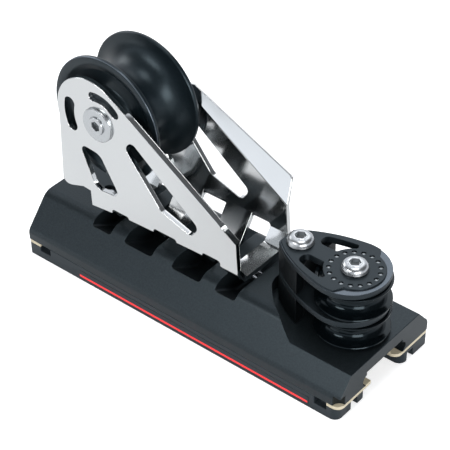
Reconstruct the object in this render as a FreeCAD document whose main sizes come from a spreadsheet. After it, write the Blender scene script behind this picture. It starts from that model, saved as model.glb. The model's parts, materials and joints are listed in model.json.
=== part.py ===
import FreeCAD, Part
import math
import os

import Sketcher
from FreeCAD import Placement, Rotation, Vector

# A lead car for a jib track: a machined car body that runs on captive balls, a polished sheave frame
# that rocks from side to side on a lengthwise pin, and a fixed double block for the control lines.
# X runs along the track, with the control block at +X. Z is up, and z = 0 is the underside of the rails.

DOC = FreeCAD.newDocument("LeadCar")

# Every independent size in millimetres, or degrees where the note says so.
SIZES = [
    ("body_length", 200.0, "car body, end to end"),
    ("body_half_width", 35.8, "widest point of the sides"),
    ("body_top", 32.0, "height of the full section"),
    ("shoulder_half", 20.9, "half width where the top meets the slope"),
    ("shoulder_round", 8.0, "radius of the shoulder"),
    ("flank_height", 14.8, "height of the widest point"),
    ("flank_round", 5.0, "radius of the widest point"),
    ("side_foot_in", 0.2, "foot of the side inside the widest point"),
    ("deck_height", 24.4, "milled deck under the control block"),
    ("channel_half", 14.3, "half width of the track channel"),
    ("channel_top", 17.1, "ceiling of the track channel"),
    ("end_edge", 0.5, "broken edge of the body's ends"),
    ("race_round", 3.15, "radius of the ball races"),
    ("race_half", 14.0, "ball race from the middle plane"),
    ("ball_round", 3.0, "radius of the track balls"),
    ("ball_pitch", 6.6, "spacing of the track balls"),
    ("slot_middle", -18.1, "middle of the row of frame slots"),
    ("inner_slot_step", 15.6, "inner slots from that middle"),
    ("inner_slot_width", 18.4, "width of the two inner slots"),
    ("outer_slot_step", 40.3, "outer slots from that middle"),
    ("outer_slot_width", 12.6, "width of the two outer slots"),
    ("slot_floor", 18.6, "flat floor of the slots"),
    ("slot_flat_half", 8.2, "half width of that flat floor"),
    ("slot_run", 16.0, "sideways run of the slot's sloping floor"),
    ("slot_rise", 9.6, "rise of the sloping floor over that run"),
    ("bay_shoulder_back", 41.1, "bay's nose arc ends behind the block's axis"),
    ("bay_shoulder_half", 8.7, "half width there"),
    ("bay_mouth_back", 14.1, "bay runs out on the slope behind the block's axis"),
    ("bay_mouth_half", 28.0, "half width there"),
    ("bay_nose_round", 12.1, "radius of the nose arc"),
    ("bay_side_round", 70.0, "radius of the bay's side walls"),
    ("guide_thickness", 1.8, "ball guide plate"),
    ("guide_half_in", 10.3, "inner edge of the guide plate"),
    ("guide_lip_width", 0.7, "lip that keeps the balls in"),
    ("guide_lip_height", 1.6, "height of that lip"),
    ("guide_setback", 0.1, "guide plate inside the body's end"),
    ("guide_corner", 4.2, "plan radius of the round corners of guide, rail and foot"),
    ("small_corner", 0.8, "plan radius of their other corners"),
    ("rail_height", 7.2, "rail under the guide plate"),
    ("rail_half_in", 14.4, "inner edge of the rail"),
    ("rail_setback", 1.4, "rail's round end inside the body's end"),
    ("rail_groove_in", 19.4, "inner side of the groove under the rail"),
    ("rail_groove_out", 24.3, "outer side of that groove"),
    ("rail_groove_depth", 5.0, "depth of that groove"),
    ("rail_window", 7.0, "length of the window near a rail's end"),
    ("rail_window_end", 7.6, "window from the body's end"),
    ("rail_skirt", 3.7, "wall of the rail that hides the guide's edge"),
    ("rail_window_height", 2.6, "height of the window"),
    ("seam_height", 6.3, "middle of the fine groove over the stripe"),
    ("seam_width", 0.35, "fine groove over the stripe"),
    ("seam_depth", 0.3, "depth of that groove"),
    ("stripe_start", -64.6, "rear end of the coloured stripe"),
    ("stripe_end", 81.6, "front end of the stripe"),
    ("stripe_height", 2.9, "middle of the stripe"),
    ("stripe_width", 1.3, "width of the stripe"),
    ("stripe_depth", 0.5, "depth of the stripe's groove"),
    ("screw_round", 1.5, "rail screw shank"),
    ("screw_head_round", 2.9, "rail screw head"),
    ("screw_head_height", 1.7, "rail screw head"),
    ("screw_length", 13.0, "rail screw under its head"),
    ("screw_in", 6.6, "rail screws inside the foot of the side"),
    ("screw_end", 14.0, "outer rail screws from the body's end"),
    ("pin_round", 3.0, "hinge pin"),
    ("pin_height", 25.0, "hinge pin's axis"),
    ("pin_rear", -82.0, "rear end of the hinge pin"),
    ("pin_front", 32.0, "front end of the hinge pin"),
    ("lock_screw_x", -75.0, "set screw that holds the pin"),
    ("lock_screw_round", 2.5, "that screw's thread"),
    ("lock_seat_round", 3.6, "counterbore over the set screw"),
    ("lock_seat_depth", 1.6, "depth of the counterbore"),
    ("sheet", 2.8, "thickness of the frame's sheet"),
    ("cheek_half_out", 20.6, "outer face of the cheeks"),
    ("strap_tilt", 55.4, "slope of the straps, degrees from level"),
    ("strap_side_gap", 1.1, "strap to slot wall"),
    ("band_top", 36.0, "top of the end bands"),
    ("front_foot_x", 27.6, "cheek's front foot, along the car"),
    ("front_foot_z", 42.2, "cheek's front foot, height"),
    ("front_fold_low_x", 26.6, "foot of the front fold, along the car"),
    ("front_fold_low_z", 59.2, "foot of the front fold, height"),
    ("front_fold_high_x", -35.0, "head of the front fold, along the car"),
    ("front_fold_high_z", 99.8, "head of the front fold, height"),
    ("front_edge_high_x", -41.0, "head of the front edge, along the car"),
    ("front_edge_high_z", 103.7, "head of the front edge, height"),
    ("rear_foot_x", -66.9, "cheek's rear foot, along the car"),
    ("rear_foot_z", 38.2, "cheek's rear foot, height"),
    ("rear_step_x", -67.3, "step over the rear foot, along the car"),
    ("rear_step_z", 47.0, "step over the rear foot, height"),
    ("rear_fold_low_x", -72.2, "foot of the rear fold, along the car"),
    ("rear_fold_low_z", 47.1, "foot of the rear fold, height"),
    ("sole_rear_x", -43.0, "cheek's lower edge, first bend, along the car"),
    ("sole_rear_z", 40.7, "cheek's lower edge, first bend, height"),
    ("sole_front_x", 4.0, "cheek's lower edge, second bend, along the car"),
    ("sole_front_z", 42.6, "cheek's lower edge, second bend, height"),
    ("rear_fold_height", 86.0, "where the rear fold runs out on the crown"),
    ("notch_rise", 1.9, "notches over the cheek's lower edge"),
    ("notch_round", 1.7, "radius of the notches' upper corners"),
    ("flare_degrees", 38.0, "bend of the front edge, degrees"),
    ("flare_foot_width", 10.3, "front leaf at its foot"),
    ("flare_head_width", 3.6, "front leaf at its head"),
    ("flare_foot_rise", 8.6, "foot of the front leaf's free edge, up the fold"),
    ("flare_corner", 4.0, "free corner of the front leaf"),
    ("rear_flare_degrees", 26.0, "bend of the rear edge, degrees"),
    ("rear_flare_width", 10.2, "rear leaf at its foot"),
    ("rear_flare_corner", 5.0, "free corner of the rear leaf"),
    ("fold_strip", 3.0, "strip of cheek that each leaf is made with"),
    ("low_window_x_a", -14.6, "lower window corner a, along from the axle"),
    ("low_window_z_a", -17.2, "lower window corner a, up from the axle"),
    ("low_window_r_a", 3.0, "lower window corner a, radius"),
    ("low_window_x_b", -0.8, "lower window corner b, along from the axle"),
    ("low_window_z_b", -18.4, "lower window corner b, up from the axle"),
    ("low_window_r_b", 6.0, "lower window corner b, radius"),
    ("low_window_x_c", 11.6, "lower window corner c, along from the axle"),
    ("low_window_z_c", -39.4, "lower window corner c, up from the axle"),
    ("low_window_r_c", 3.0, "lower window corner c, radius"),
    ("low_window_x_d", -4.6, "lower window corner d, along from the axle"),
    ("low_window_z_d", -40.6, "lower window corner d, up from the axle"),
    ("low_window_r_d", 6.0, "lower window corner d, radius"),
    ("great_window_x_a", 16.4, "great window corner a, along from the axle"),
    ("great_window_z_a", -6.8, "great window corner a, up from the axle"),
    ("great_window_r_a", 3.4, "great window corner a, radius"),
    ("great_window_x_b", 21.0, "great window corner b, along from the axle"),
    ("great_window_z_b", -1.4, "great window corner b, up from the axle"),
    ("great_window_r_b", 3.2, "great window corner b, radius"),
    ("great_window_x_c", 62.2, "great window corner c, along from the axle"),
    ("great_window_z_c", -33.2, "great window corner c, up from the axle"),
    ("great_window_r_c", 3.4, "great window corner c, radius"),
    ("great_window_x_d", 57.6, "great window corner d, along from the axle"),
    ("great_window_z_d", -40.4, "great window corner d, up from the axle"),
    ("great_window_r_d", 3.4, "great window corner d, radius"),
    ("great_window_x_e", 38.2, "great window corner e, along from the axle"),
    ("great_window_z_e", -34.0, "great window corner e, up from the axle"),
    ("great_window_r_e", 5.0, "great window corner e, radius"),
    ("kidney_in", 16.4, "kidney slot, inner radius round the axle"),
    ("kidney_out", 22.8, "kidney slot, outer radius round the axle"),
    ("kidney_start_degrees", 166.0, "kidney slot, first end, degrees"),
    ("kidney_end_degrees", 203.0, "kidney slot, last end, degrees"),
    ("curved_in", 12.6, "curved slot, inner radius round the axle"),
    ("curved_out", 17.4, "curved slot, outer radius round the axle"),
    ("curved_start_degrees", 43.0, "curved slot, first end, degrees"),
    ("curved_end_degrees", 102.0, "curved slot, last end, degrees"),
    ("axle_x", -58.6, "main axle, along the car"),
    ("axle_z", 90.8, "main axle, height"),
    ("crown_round", 22.3, "round top of the cheeks"),
    ("crown_back", 5.2, "its centre behind the axle"),
    ("crown_rise", 0.7, "its centre above the axle"),
    ("sheave_round", 33.5, "main sheave"),
    ("sheave_gap", 0.7, "main sheave beside its side washers"),
    ("groove_round", 13.2, "line groove of the main sheave"),
    ("groove_depth", 12.8, "depth of that groove"),
    ("sheave_dish", 2.2, "depth of the dish in the sheave's sides"),
    ("sheave_rim_in", 27.0, "outer radius of that dish"),
    ("sheave_hub", 17.0, "hub that stands in the dish"),
    ("race_ring_round", 9.5, "outer radius of the bearing's inner ring"),
    ("roller_round", 1.7, "bearing roller"),
    ("roller_length", 24.0, "bearing roller"),
    ("roller_count", 16, "rollers round the bearing"),
    ("bush_round", 9.2, "disc of the axle bush"),
    ("bush_proud", 1.7, "disc outside the cheek"),
    ("spigot_round", 7.0, "part of the bush inside the cheek"),
    ("washer_round", 15.0, "side washer between cheek and sheave"),
    ("washer_thickness", 1.8, "side washer"),
    ("axle_bolt_round", 4.0, "axle bolt shank"),
    ("axle_head_round", 4.6, "axle bolt's head"),
    ("axle_head_height", 1.2, "axle bolt's head, half sunk"),
    ("axle_socket", 2.4, "half width of the axle bolt's hexagon"),
    ("block_back", 19.7, "axis of the control sheaves behind the body's front end"),
    ("block_end_back", 2.7, "centre of the plates' round end behind that axis"),
    ("block_end_round", 19.8, "radius of the plates' round end"),
    ("block_side_back", 6.7, "a long side meets the round end behind that axis"),
    ("nose_back", 39.8, "nose of the block's plates behind that axis"),
    ("nose_half", 5.5, "half width of the nose"),
    ("nose_side_back", 33.3, "the nose's chamfer ends behind that axis"),
    ("nose_side_half", 9.9, "half width there"),
    ("block_side_round", 80.0, "radius of the plates' long sides"),
    ("control_round", 18.35, "control sheave"),
    ("control_width", 12.8, "control sheave"),
    ("control_gap", 0.5, "control sheave to a plate"),
    ("control_groove_round", 5.1, "line groove of a control sheave"),
    ("control_groove_depth", 6.6, "depth of that groove"),
    ("control_dish_in", 15.0, "inner radius of the sheave's dish"),
    ("control_dish_out", 16.6, "outer radius of the dish"),
    ("control_dish_depth", 0.7, "depth of the dish"),
    ("base_round", 15.0, "washer on the deck under the lower sheave"),
    ("base_thickness", 1.1, "that washer"),
    ("middle_thickness", 3.2, "middle plate"),
    ("top_thickness", 2.9, "top plate at its rim"),
    ("top_raise", 0.8, "raised face over the rim"),
    ("top_raise_round", 14.8, "round end of the raised face"),
    ("top_raise_edge", 0.4, "raised face inside the plate's outline"),
    ("slot_ring", 14.7, "top plate's slots stop at this radius from the axis"),
    ("slot_start_back", 24.4, "those slots begin behind the axis"),
    ("slot_end_back", 8.4, "their outer edge ends behind the axis"),
    ("slot_half_in", 4.9, "inner edge of those slots"),
    ("slot_half_start", 11.0, "their outer edge, at the start"),
    ("slot_half_end", 15.1, "their outer edge, at the end"),
    ("slot_corner", 2.8, "plan radius of those slots' first corners"),
    ("slot_end_corner", 1.2, "plan radius of their other corners"),
    ("raise_corner", 2.0, "plan radius where the raised face turns in to its round end"),
    ("spacer_back", 21.8, "post spacers end behind the axis"),
    ("spacer_gap", 5.6, "hollow end of the spacers, from the sheave"),
    ("post_back", 31.4, "axis of the post bolt behind the sheaves' axis"),
    ("bolt_round", 4.0, "block bolts"),
    ("bolt_head_round", 6.7, "block bolts' button heads"),
    ("bolt_head_height", 4.0, "button head"),
    ("bolt_socket", 2.5, "half width of the button heads' hexagon"),
    ("bolt_depth", 5.4, "bolts into the car body"),
    ("sleeve_round", 6.4, "sleeve round the centre bolt"),
    ("bead_ring", 12.1, "radius of the block's ball ring"),
    ("bead_round", 1.9, "ball in that ring"),
    ("bead_lift", 1.2, "centre of those balls over the top plate's underside"),
    ("bead_count", 17, "balls in the ring"),
    ("bead_hole", 1.1, "sight hole over each ball"),
    ("fit", 0.1, "clearance of seated parts"),
    ("running_fit", 0.08, "radial clearance of a pin or sleeve in what turns on it"),
    ("running_gap", 0.3, "clearance beside turning parts"),
]

# Sizes that follow from those above, so that what sits together moves together.
FOLLOWING = [
    ("side_foot_half", "=body_half_width - side_foot_in", "half width at the foot of the side"),
    ("screw_half", "=side_foot_half - screw_in", "rail screws from the middle plane"),
    ("sheave_width", "=2 * (cheek_half_out - sheet - washer_thickness - sheave_gap)", "main sheave"),
    ("block_x", "=body_length / 2 - block_back", "axis of the control sheaves"),
    ("block_end_x", "=block_x - block_end_back", "centre of the plates' round end"),
    ("block_side_x", "=block_x - block_side_back", "where a long side meets the round end"),
    ("nose_x", "=block_x - nose_back", "nose of the block's plates"),
    ("nose_side_x", "=block_x - nose_side_back", "where the nose's chamfer ends"),
    ("bay_shoulder", "=block_x - bay_shoulder_back", "where the bay's nose arc ends"),
    ("bay_mouth", "=block_x - bay_mouth_back", "where the bay runs out on the slope"),
    ("slot_start", "=block_x - slot_start_back", "where the top plate's slots begin"),
    ("slot_end", "=block_x - slot_end_back", "where their outer edge ends"),
    ("spacer_end", "=block_x - spacer_back", "where the post spacers end"),
    ("post_x", "=block_x - post_back", "axis of the post bolt"),
]

sheet = DOC.addObject("Spreadsheet::Sheet", "Sizes")
for row, (alias, value, note) in enumerate(SIZES + FOLLOWING, start=1):
    sheet.set("A%d" % row, note)
    sheet.set("B%d" % row, str(value))
    sheet.setAlias("B%d" % row, alias)
DOC.recompute()


def size(alias):
    """The value that the sheet holds under this alias."""
    return float(getattr(sheet, alias))


NODES = []


def node(obj, label):
    """Registers an object of the document as a sub-part with its own name."""
    obj.Label = label
    NODES.append(obj)
    return obj


def bind(obj, **expressions):
    """Binds properties to the sheet; x, y and z stand for the place."""
    names = {"x": "Placement.Base.x", "y": "Placement.Base.y", "z": "Placement.Base.z"}
    for key, expression in expressions.items():
        obj.setExpression(names.get(key, key), expression)
    return obj


def number(obj, expression):
    return float(obj.evalExpression(expression))


# Sketches: each corner of an outline is a pair of expressions, held by dimensions to the sketch's origin.
# A third expression turns the side that leaves the corner into an arc; its centre lies on the left of
# the way for a positive radius and on the right for a negative one.

def origin_plane(body, role):
    return next(feature for feature in body.Origin.OriginFeatures if feature.Role == role)


def new_sketch(body, name, role, offset=None):
    sketch = body.newObject("Sketcher::SketchObject", name)
    sketch.AttachmentSupport = [(origin_plane(body, role), "")]
    sketch.MapMode = "FlatFace"
    if offset is not None:
        sketch.setExpression("AttachmentOffset.Base.z", offset)
    return sketch


def hold(sketch, kind, expression, *places):
    value = number(sketch, expression)
    index = sketch.addConstraint(Sketcher.Constraint(kind, *places, value))
    sketch.setExpression("Constraints[%d]" % index, expression)


def arc_between(start, end, radius):
    """An arc and whether it runs backwards, because an arc's own way is always anticlockwise."""
    middle = (start + end) * 0.5
    half = (end - start).Length / 2
    across = Vector(-(end - start).y, (end - start).x, 0).normalize()
    reach = math.sqrt(max(radius * radius - half * half, 0.0))
    centre = middle + across * math.copysign(reach, radius)
    first = math.atan2(start.y - centre.y, start.x - centre.x)
    last = math.atan2(end.y - centre.y, end.x - centre.x)
    circle = Part.Circle(centre, Vector(0, 0, 1), abs(radius))
    if radius > 0:
        return Part.ArcOfCircle(circle, first, last), False
    return Part.ArcOfCircle(circle, last, first), True


def draw(sketch, corners):
    """Draws a closed outline through the corners."""
    points = [Vector(number(sketch, corner[0]), number(sketch, corner[1]), 0) for corner in corners]
    ends = []
    for index, corner in enumerate(corners):
        start = points[index]
        end = points[(index + 1) % len(points)]
        if len(corner) == 3:
            arc, backwards = arc_between(start, end, number(sketch, corner[2]))
            side = sketch.addGeometry(arc)
            hold(sketch, "Radius", "abs(%s)" % corner[2], side)
            ends.append((side, 2, 1) if backwards else (side, 1, 2))
        else:
            side = sketch.addGeometry(Part.LineSegment(start, end))
            ends.append((side, 1, 2))
    for index, corner in enumerate(corners):
        side, first, _ = ends[index]
        before, _, last = ends[index - 1]
        sketch.addConstraint(Sketcher.Constraint("Coincident", before, last, side, first))
        hold(sketch, "DistanceX", corner[0], -1, 1, side, first)
        hold(sketch, "DistanceY", corner[1], -1, 1, side, first)


def draw_circle(sketch, across, up, radius):
    centre = Vector(number(sketch, across), number(sketch, up), 0)
    ring = sketch.addGeometry(Part.Circle(centre, Vector(0, 0, 1), number(sketch, radius)))
    hold(sketch, "Radius", radius, ring)
    hold(sketch, "DistanceX", across, -1, 1, ring, 3)
    hold(sketch, "DistanceY", up, -1, 1, ring, 3)


def new_body(name):
    return DOC.addObject("PartDesign::Body", name)


def pad(body, sketch, length, midplane=False, backwards=False):
    feature = body.newObject("PartDesign::Pad", sketch.Name + "_pad")
    feature.Profile = sketch
    feature.Midplane = midplane
    feature.Reversed = backwards
    feature.setExpression("Length", length)
    return feature


def pocket(body, sketch, length, midplane=False, backwards=False):
    """Cuts, and checks that the cut took something away."""
    DOC.recompute()
    before = body.Shape.Volume
    feature = body.newObject("PartDesign::Pocket", sketch.Name + "_cut")
    feature.Profile = sketch
    feature.Midplane = midplane
    feature.Reversed = backwards
    feature.setExpression("Length", length)
    DOC.recompute()
    if body.Shape.Volume >= before:
        raise RuntimeError("%s cuts nothing" % sketch.Name)
    return feature


def round_edges(body, name, radius, wanted, kind="Fillet"):
    """Rounds or breaks the edges that a test picks by their place."""
    DOC.recompute()
    tip = body.Tip
    edges = ["Edge%d" % (i + 1) for i, edge in enumerate(body.Shape.Edges) if wanted(edge)]
    if not edges:
        raise RuntimeError("%s finds no edge" % name)
    feature = body.newObject("PartDesign::" + kind, name)
    feature.Base = (tip, edges)
    feature.setExpression("Radius" if kind == "Fillet" else "Size", radius)
    DOC.recompute()
    return feature


# Ways to lay a turned piece, which is drawn round the Z axis.
UPRIGHT = Rotation()
CROSSWISE = Rotation(Vector(1, 0, 0), -90)
LENGTHWISE = Rotation(Vector(0, 1, 0), 90)


def turned(name, corners, rotation=UPRIGHT, x="0", y="0", z="0"):
    """A turned piece: corners are pairs of a radius and a height along its own axis."""
    body = new_body(name)
    sketch = new_sketch(body, name + "_profile", "XZ_Plane")
    draw(sketch, corners)
    spin = body.newObject("PartDesign::Revolution", name + "_turn")
    spin.Profile = sketch
    spin.ReferenceAxis = (sketch, ["V_Axis"])
    spin.Angle = 360
    body.Placement = Placement(Vector(), rotation)
    bind(body, x=x, y=y, z=z)
    return body


def ring_profile(inner, outer, low, high):
    return [(inner, low), (outer, low), (outer, high), (inner, high)]


def solid_feature(label, shape):
    """A sub-part whose shape is made directly from the sheet's values."""
    feature = DOC.addObject("Part::Feature", label)
    feature.Shape = shape
    feature.Placement = Placement()
    return node(feature, label)


def tool(kind, name, rotation=UPRIGHT, **expressions):
    """A primitive that a boolean uses."""
    primitive = DOC.addObject("Part::" + kind, name)
    primitive.Placement = Placement(Vector(), rotation)
    return bind(primitive, **expressions)


def cut(name, base, cutter):
    """The base less the cutter."""
    result = DOC.addObject("Part::Cut", name)
    result.Base = base
    result.Tool = cutter
    DOC.recompute()
    if result.Shape.Volume >= base.Shape.Volume:
        raise RuntimeError("%s cuts nothing" % name)
    return result


def signed(side, expression):
    """The expression for the left side (+1), or its opposite for the right side (-1)."""
    return expression if side > 0 else "-(%s)" % expression


SIDES = [(1, "left"), (-1, "right")]

# Heights that several pieces share.
GUIDE_LOW = "Sizes.rail_height"
GUIDE_TOP = "Sizes.rail_height + Sizes.guide_thickness"
RACE_HEIGHT = "Sizes.rail_height + Sizes.guide_thickness + Sizes.ball_round + Sizes.fit"
BODY_END = "Sizes.body_length / 2"
BASE_TOP = "Sizes.deck_height + Sizes.base_thickness"
LOWER_SHEAVE = BASE_TOP + " + Sizes.control_gap"
MIDDLE_LOW = LOWER_SHEAVE + " + Sizes.control_width + Sizes.control_gap"
MIDDLE_TOP = MIDDLE_LOW + " + Sizes.middle_thickness"
UPPER_SHEAVE = MIDDLE_TOP + " + Sizes.control_gap"
TOP_LOW = UPPER_SHEAVE + " + Sizes.control_width + Sizes.control_gap"
TOP_FACE = TOP_LOW + " + Sizes.top_thickness + Sizes.top_raise"


# Car body: an extrusion with a track channel, milled slots for the frame and a bay for the block.

def slot_places():
    """Name, middle and width of each frame slot, from the rear to the front."""
    return [
        ("rear", "Sizes.slot_middle - Sizes.outer_slot_step", "Sizes.outer_slot_width"),
        ("mid_rear", "Sizes.slot_middle - Sizes.inner_slot_step", "Sizes.inner_slot_width"),
        ("mid_front", "Sizes.slot_middle + Sizes.inner_slot_step", "Sizes.inner_slot_width"),
        ("front", "Sizes.slot_middle + Sizes.outer_slot_step", "Sizes.outer_slot_width"),
    ]


def runs_lengthwise(edge, half, height, room=0.05):
    """True for an edge along X at this half width and height."""
    ends = [vertex.Point for vertex in edge.Vertexes]
    if len(ends) != 2 or abs(ends[0].x - ends[1].x) < size("outer_slot_width"):
        return False
    return all(abs(abs(p.y) - half) < room and abs(p.z - height) < room for p in ends)


def car_body():
    body = new_body("car_body")
    section = new_sketch(body, "section", "YZ_Plane")
    right_half = [
        ("-Sizes.channel_half", "Sizes.channel_top"),
        ("-Sizes.channel_half", GUIDE_TOP),
        ("-Sizes.side_foot_half", GUIDE_TOP),
        ("-Sizes.body_half_width", "Sizes.flank_height"),
        ("-Sizes.shoulder_half", "Sizes.body_top"),
    ]
    left_half = [("-(%s)" % across, up) for across, up in reversed(right_half)]
    draw(section, right_half + left_half)
    pad(body, section, "Sizes.body_length", midplane=True)
    round_edges(body, "shoulders", "Sizes.shoulder_round",
                lambda edge: runs_lengthwise(edge, size("shoulder_half"), size("body_top")))
    round_edges(body, "flanks", "Sizes.flank_round",
                lambda edge: runs_lengthwise(edge, size("body_half_width"), size("flank_height")))

    races = new_sketch(body, "races", "YZ_Plane")
    for side, _ in SIDES:
        draw_circle(races, signed(side, "Sizes.race_half"), RACE_HEIGHT, "Sizes.race_round")
    pocket(body, races, "Sizes.body_length + 2", midplane=True)

    for name, middle, width in slot_places():
        slot = new_sketch(body, "slot_" + name, "YZ_Plane", middle)
        far = "(Sizes.slot_flat_half + 2 * Sizes.slot_run)"
        high = "(Sizes.slot_floor + 2 * Sizes.slot_rise)"
        draw(slot, [
            ("-" + far, "Sizes.body_top + 10"),
            ("-" + far, high),
            ("-Sizes.slot_flat_half", "Sizes.slot_floor"),
            ("Sizes.slot_flat_half", "Sizes.slot_floor"),
            (far, high),
            (far, "Sizes.body_top + 10"),
        ])
        pocket(body, slot, width, midplane=True)

    bay = new_sketch(body, "bay", "XY_Plane", "Sizes.deck_height")
    draw(bay, [
        ("Sizes.bay_shoulder", "Sizes.bay_shoulder_half", "Sizes.bay_nose_round"),
        ("Sizes.bay_shoulder", "-Sizes.bay_shoulder_half", "Sizes.bay_side_round"),
        ("Sizes.bay_mouth", "-Sizes.bay_mouth_half"),
        ("Sizes.bay_mouth", "-Sizes.body_half_width - 2"),
        ("Sizes.body_length / 2 + 2", "-Sizes.body_half_width - 2"),
        ("Sizes.body_length / 2 + 2", "Sizes.body_half_width + 2"),
        ("Sizes.bay_mouth", "Sizes.body_half_width + 2"),
        ("Sizes.bay_mouth", "Sizes.bay_mouth_half", "Sizes.bay_side_round"),
    ])
    pocket(body, bay, "Sizes.body_top - Sizes.deck_height + 5", backwards=True)

    for side, word in SIDES:
        # One outer corner of each foot is as round as the guide and the rail under it.
        corner = new_sketch(body, "foot_corner_" + word, "XY_Plane", GUIDE_TOP)
        end = signed(-side, BODY_END)
        past = signed(-side, "(%s + 1)" % BODY_END)
        back = signed(-side, "(%s - Sizes.guide_corner)" % BODY_END)
        wide = signed(side, "Sizes.side_foot_half")
        wider = signed(side, "(Sizes.body_half_width + 1)")
        turn = signed(side, "(Sizes.side_foot_half - Sizes.guide_corner)")
        draw(corner, [
            (end, turn, "Sizes.guide_corner"),
            (back, wide),
            (back, wider),
            (past, wider),
            (past, turn),
        ])
        pocket(body, corner, "Sizes.flank_height - %s" % "(" + GUIDE_TOP + ")", backwards=True)

    bolts = new_sketch(body, "block_bolt_holes", "XY_Plane", "Sizes.deck_height + 1")
    for place in ("Sizes.block_x", "Sizes.post_x"):
        draw_circle(bolts, place, "0", "Sizes.bolt_round + Sizes.fit / 2")
    pocket(body, bolts, "Sizes.bolt_depth + 1 + Sizes.fit")

    lock = new_sketch(body, "lock_screw_hole", "XY_Plane", "Sizes.body_top + 1")
    draw_circle(lock, "Sizes.lock_screw_x", "0", "Sizes.lock_screw_round + Sizes.fit / 2")
    pocket(body, lock, "Sizes.body_top + 1 - Sizes.pin_height")
    seat = new_sketch(body, "lock_screw_seat", "XY_Plane", "Sizes.body_top + 1")
    draw_circle(seat, "Sizes.lock_screw_x", "0", "Sizes.lock_seat_round")
    pocket(body, seat, "Sizes.lock_seat_depth + 1")

    bore = new_sketch(body, "pin_bore", "YZ_Plane", "-%s - 1" % BODY_END)
    draw_circle(bore, "0", "Sizes.pin_height", "Sizes.pin_round + Sizes.fit / 2")
    pocket(body, bore, "Sizes.pin_front + Sizes.fit + %s + 1" % BODY_END, backwards=True)

    taps = new_sketch(body, "rail_screw_holes", "XY_Plane", GUIDE_TOP)
    for along in screw_places():
        for side, _ in SIDES:
            draw_circle(taps, along, signed(side, "Sizes.screw_half"), "Sizes.screw_round + Sizes.fit / 2")
    pocket(body, taps, "Sizes.screw_head_height + Sizes.screw_length - %s + Sizes.fit" % GUIDE_LOW,
           backwards=True)
    node(body, "car_body")


def screw_places():
    end = "(%s - Sizes.screw_end)" % BODY_END
    return ["-" + end, "-%s / 3" % end, "%s / 3" % end, end]


# Under each leg of the body lie a pale guide plate, which keeps the balls in, and a black rail.

WINDOW_FAR = "(Sizes.body_length / 2 - Sizes.rail_window_end)"
WINDOW_NEAR = "(Sizes.body_length / 2 - Sizes.rail_window_end - Sizes.rail_window)"


def round_end(side, setback):
    """The two ends of a leg's plate: its round end is set back, and its square end is flush."""
    back = "(%s - %s)" % (BODY_END, setback)
    flush = "(%s - Sizes.fit)" % BODY_END
    return ("-" + flush, back) if side < 0 else ("-" + back, flush)


def leg_plate(label, side, inner, setback, low, thickness, recess=None):
    """A long plate under one leg, with round corners in plan.

    Where a recess is given, the outer edge stands back by it between the rail's two windows.
    """
    body = new_body(label)
    plan = new_sketch(body, label + "_plan", "XY_Plane", low)
    rear, front = round_end(side, setback)
    near = signed(side, inner)
    wide = signed(side, "Sizes.side_foot_half")
    corners = [(rear, near), (front, near), (front, wide)]
    if recess is not None:
        inside = signed(side, "(Sizes.side_foot_half - %s)" % recess)
        corners += [(WINDOW_FAR, wide), (WINDOW_FAR, inside), ("-" + WINDOW_FAR, inside),
                    ("-" + WINDOW_FAR, wide)]
    draw(plan, corners + [(rear, wide)])
    pad(body, plan, thickness)
    DOC.recompute()
    middle = side * (number(body, inner) + size("side_foot_half")) / 2
    beyond = number(body, WINDOW_FAR) + size("rail_setback")

    def at_end(edge, large):
        box = edge.BoundBox
        centre = box.Center
        if abs(box.ZLength - number(body, thickness)) > 0.01 or abs(centre.x) < beyond:
            return False
        return (centre.x * (centre.y - middle) < 0) == large

    round_edges(body, label + "_corners", "Sizes.guide_corner", lambda edge: at_end(edge, True))
    round_edges(body, label + "_small", "Sizes.small_corner", lambda edge: at_end(edge, False))
    return body


def screw_holes(body, side, label, low, depth, radius):
    holes = new_sketch(body, label, "XY_Plane", low)
    for along in screw_places():
        draw_circle(holes, along, signed(side, "Sizes.screw_half"), radius)
    pocket(body, holes, depth, backwards=True)


def guide_plate(side, word):
    label = "ball_guide_" + word
    body = leg_plate(label, side, "Sizes.guide_half_in", "Sizes.guide_setback", GUIDE_LOW,
                     "Sizes.guide_thickness", "(Sizes.rail_skirt + Sizes.fit)")
    lip = new_sketch(body, label + "_lip", "XY_Plane", GUIDE_TOP)
    end = "(%s - Sizes.guide_setback - Sizes.guide_corner)" % BODY_END
    near = signed(side, "Sizes.guide_half_in")
    away = signed(side, "Sizes.guide_half_in + Sizes.guide_lip_width")
    draw(lip, [("-" + end, near), (end, near), (end, away), ("-" + end, away)])
    pad(body, lip, "Sizes.guide_lip_height")
    screw_holes(body, side, label + "_holes", GUIDE_LOW, "Sizes.guide_thickness",
                "Sizes.screw_round + Sizes.fit / 2")
    node(body, label)


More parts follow.
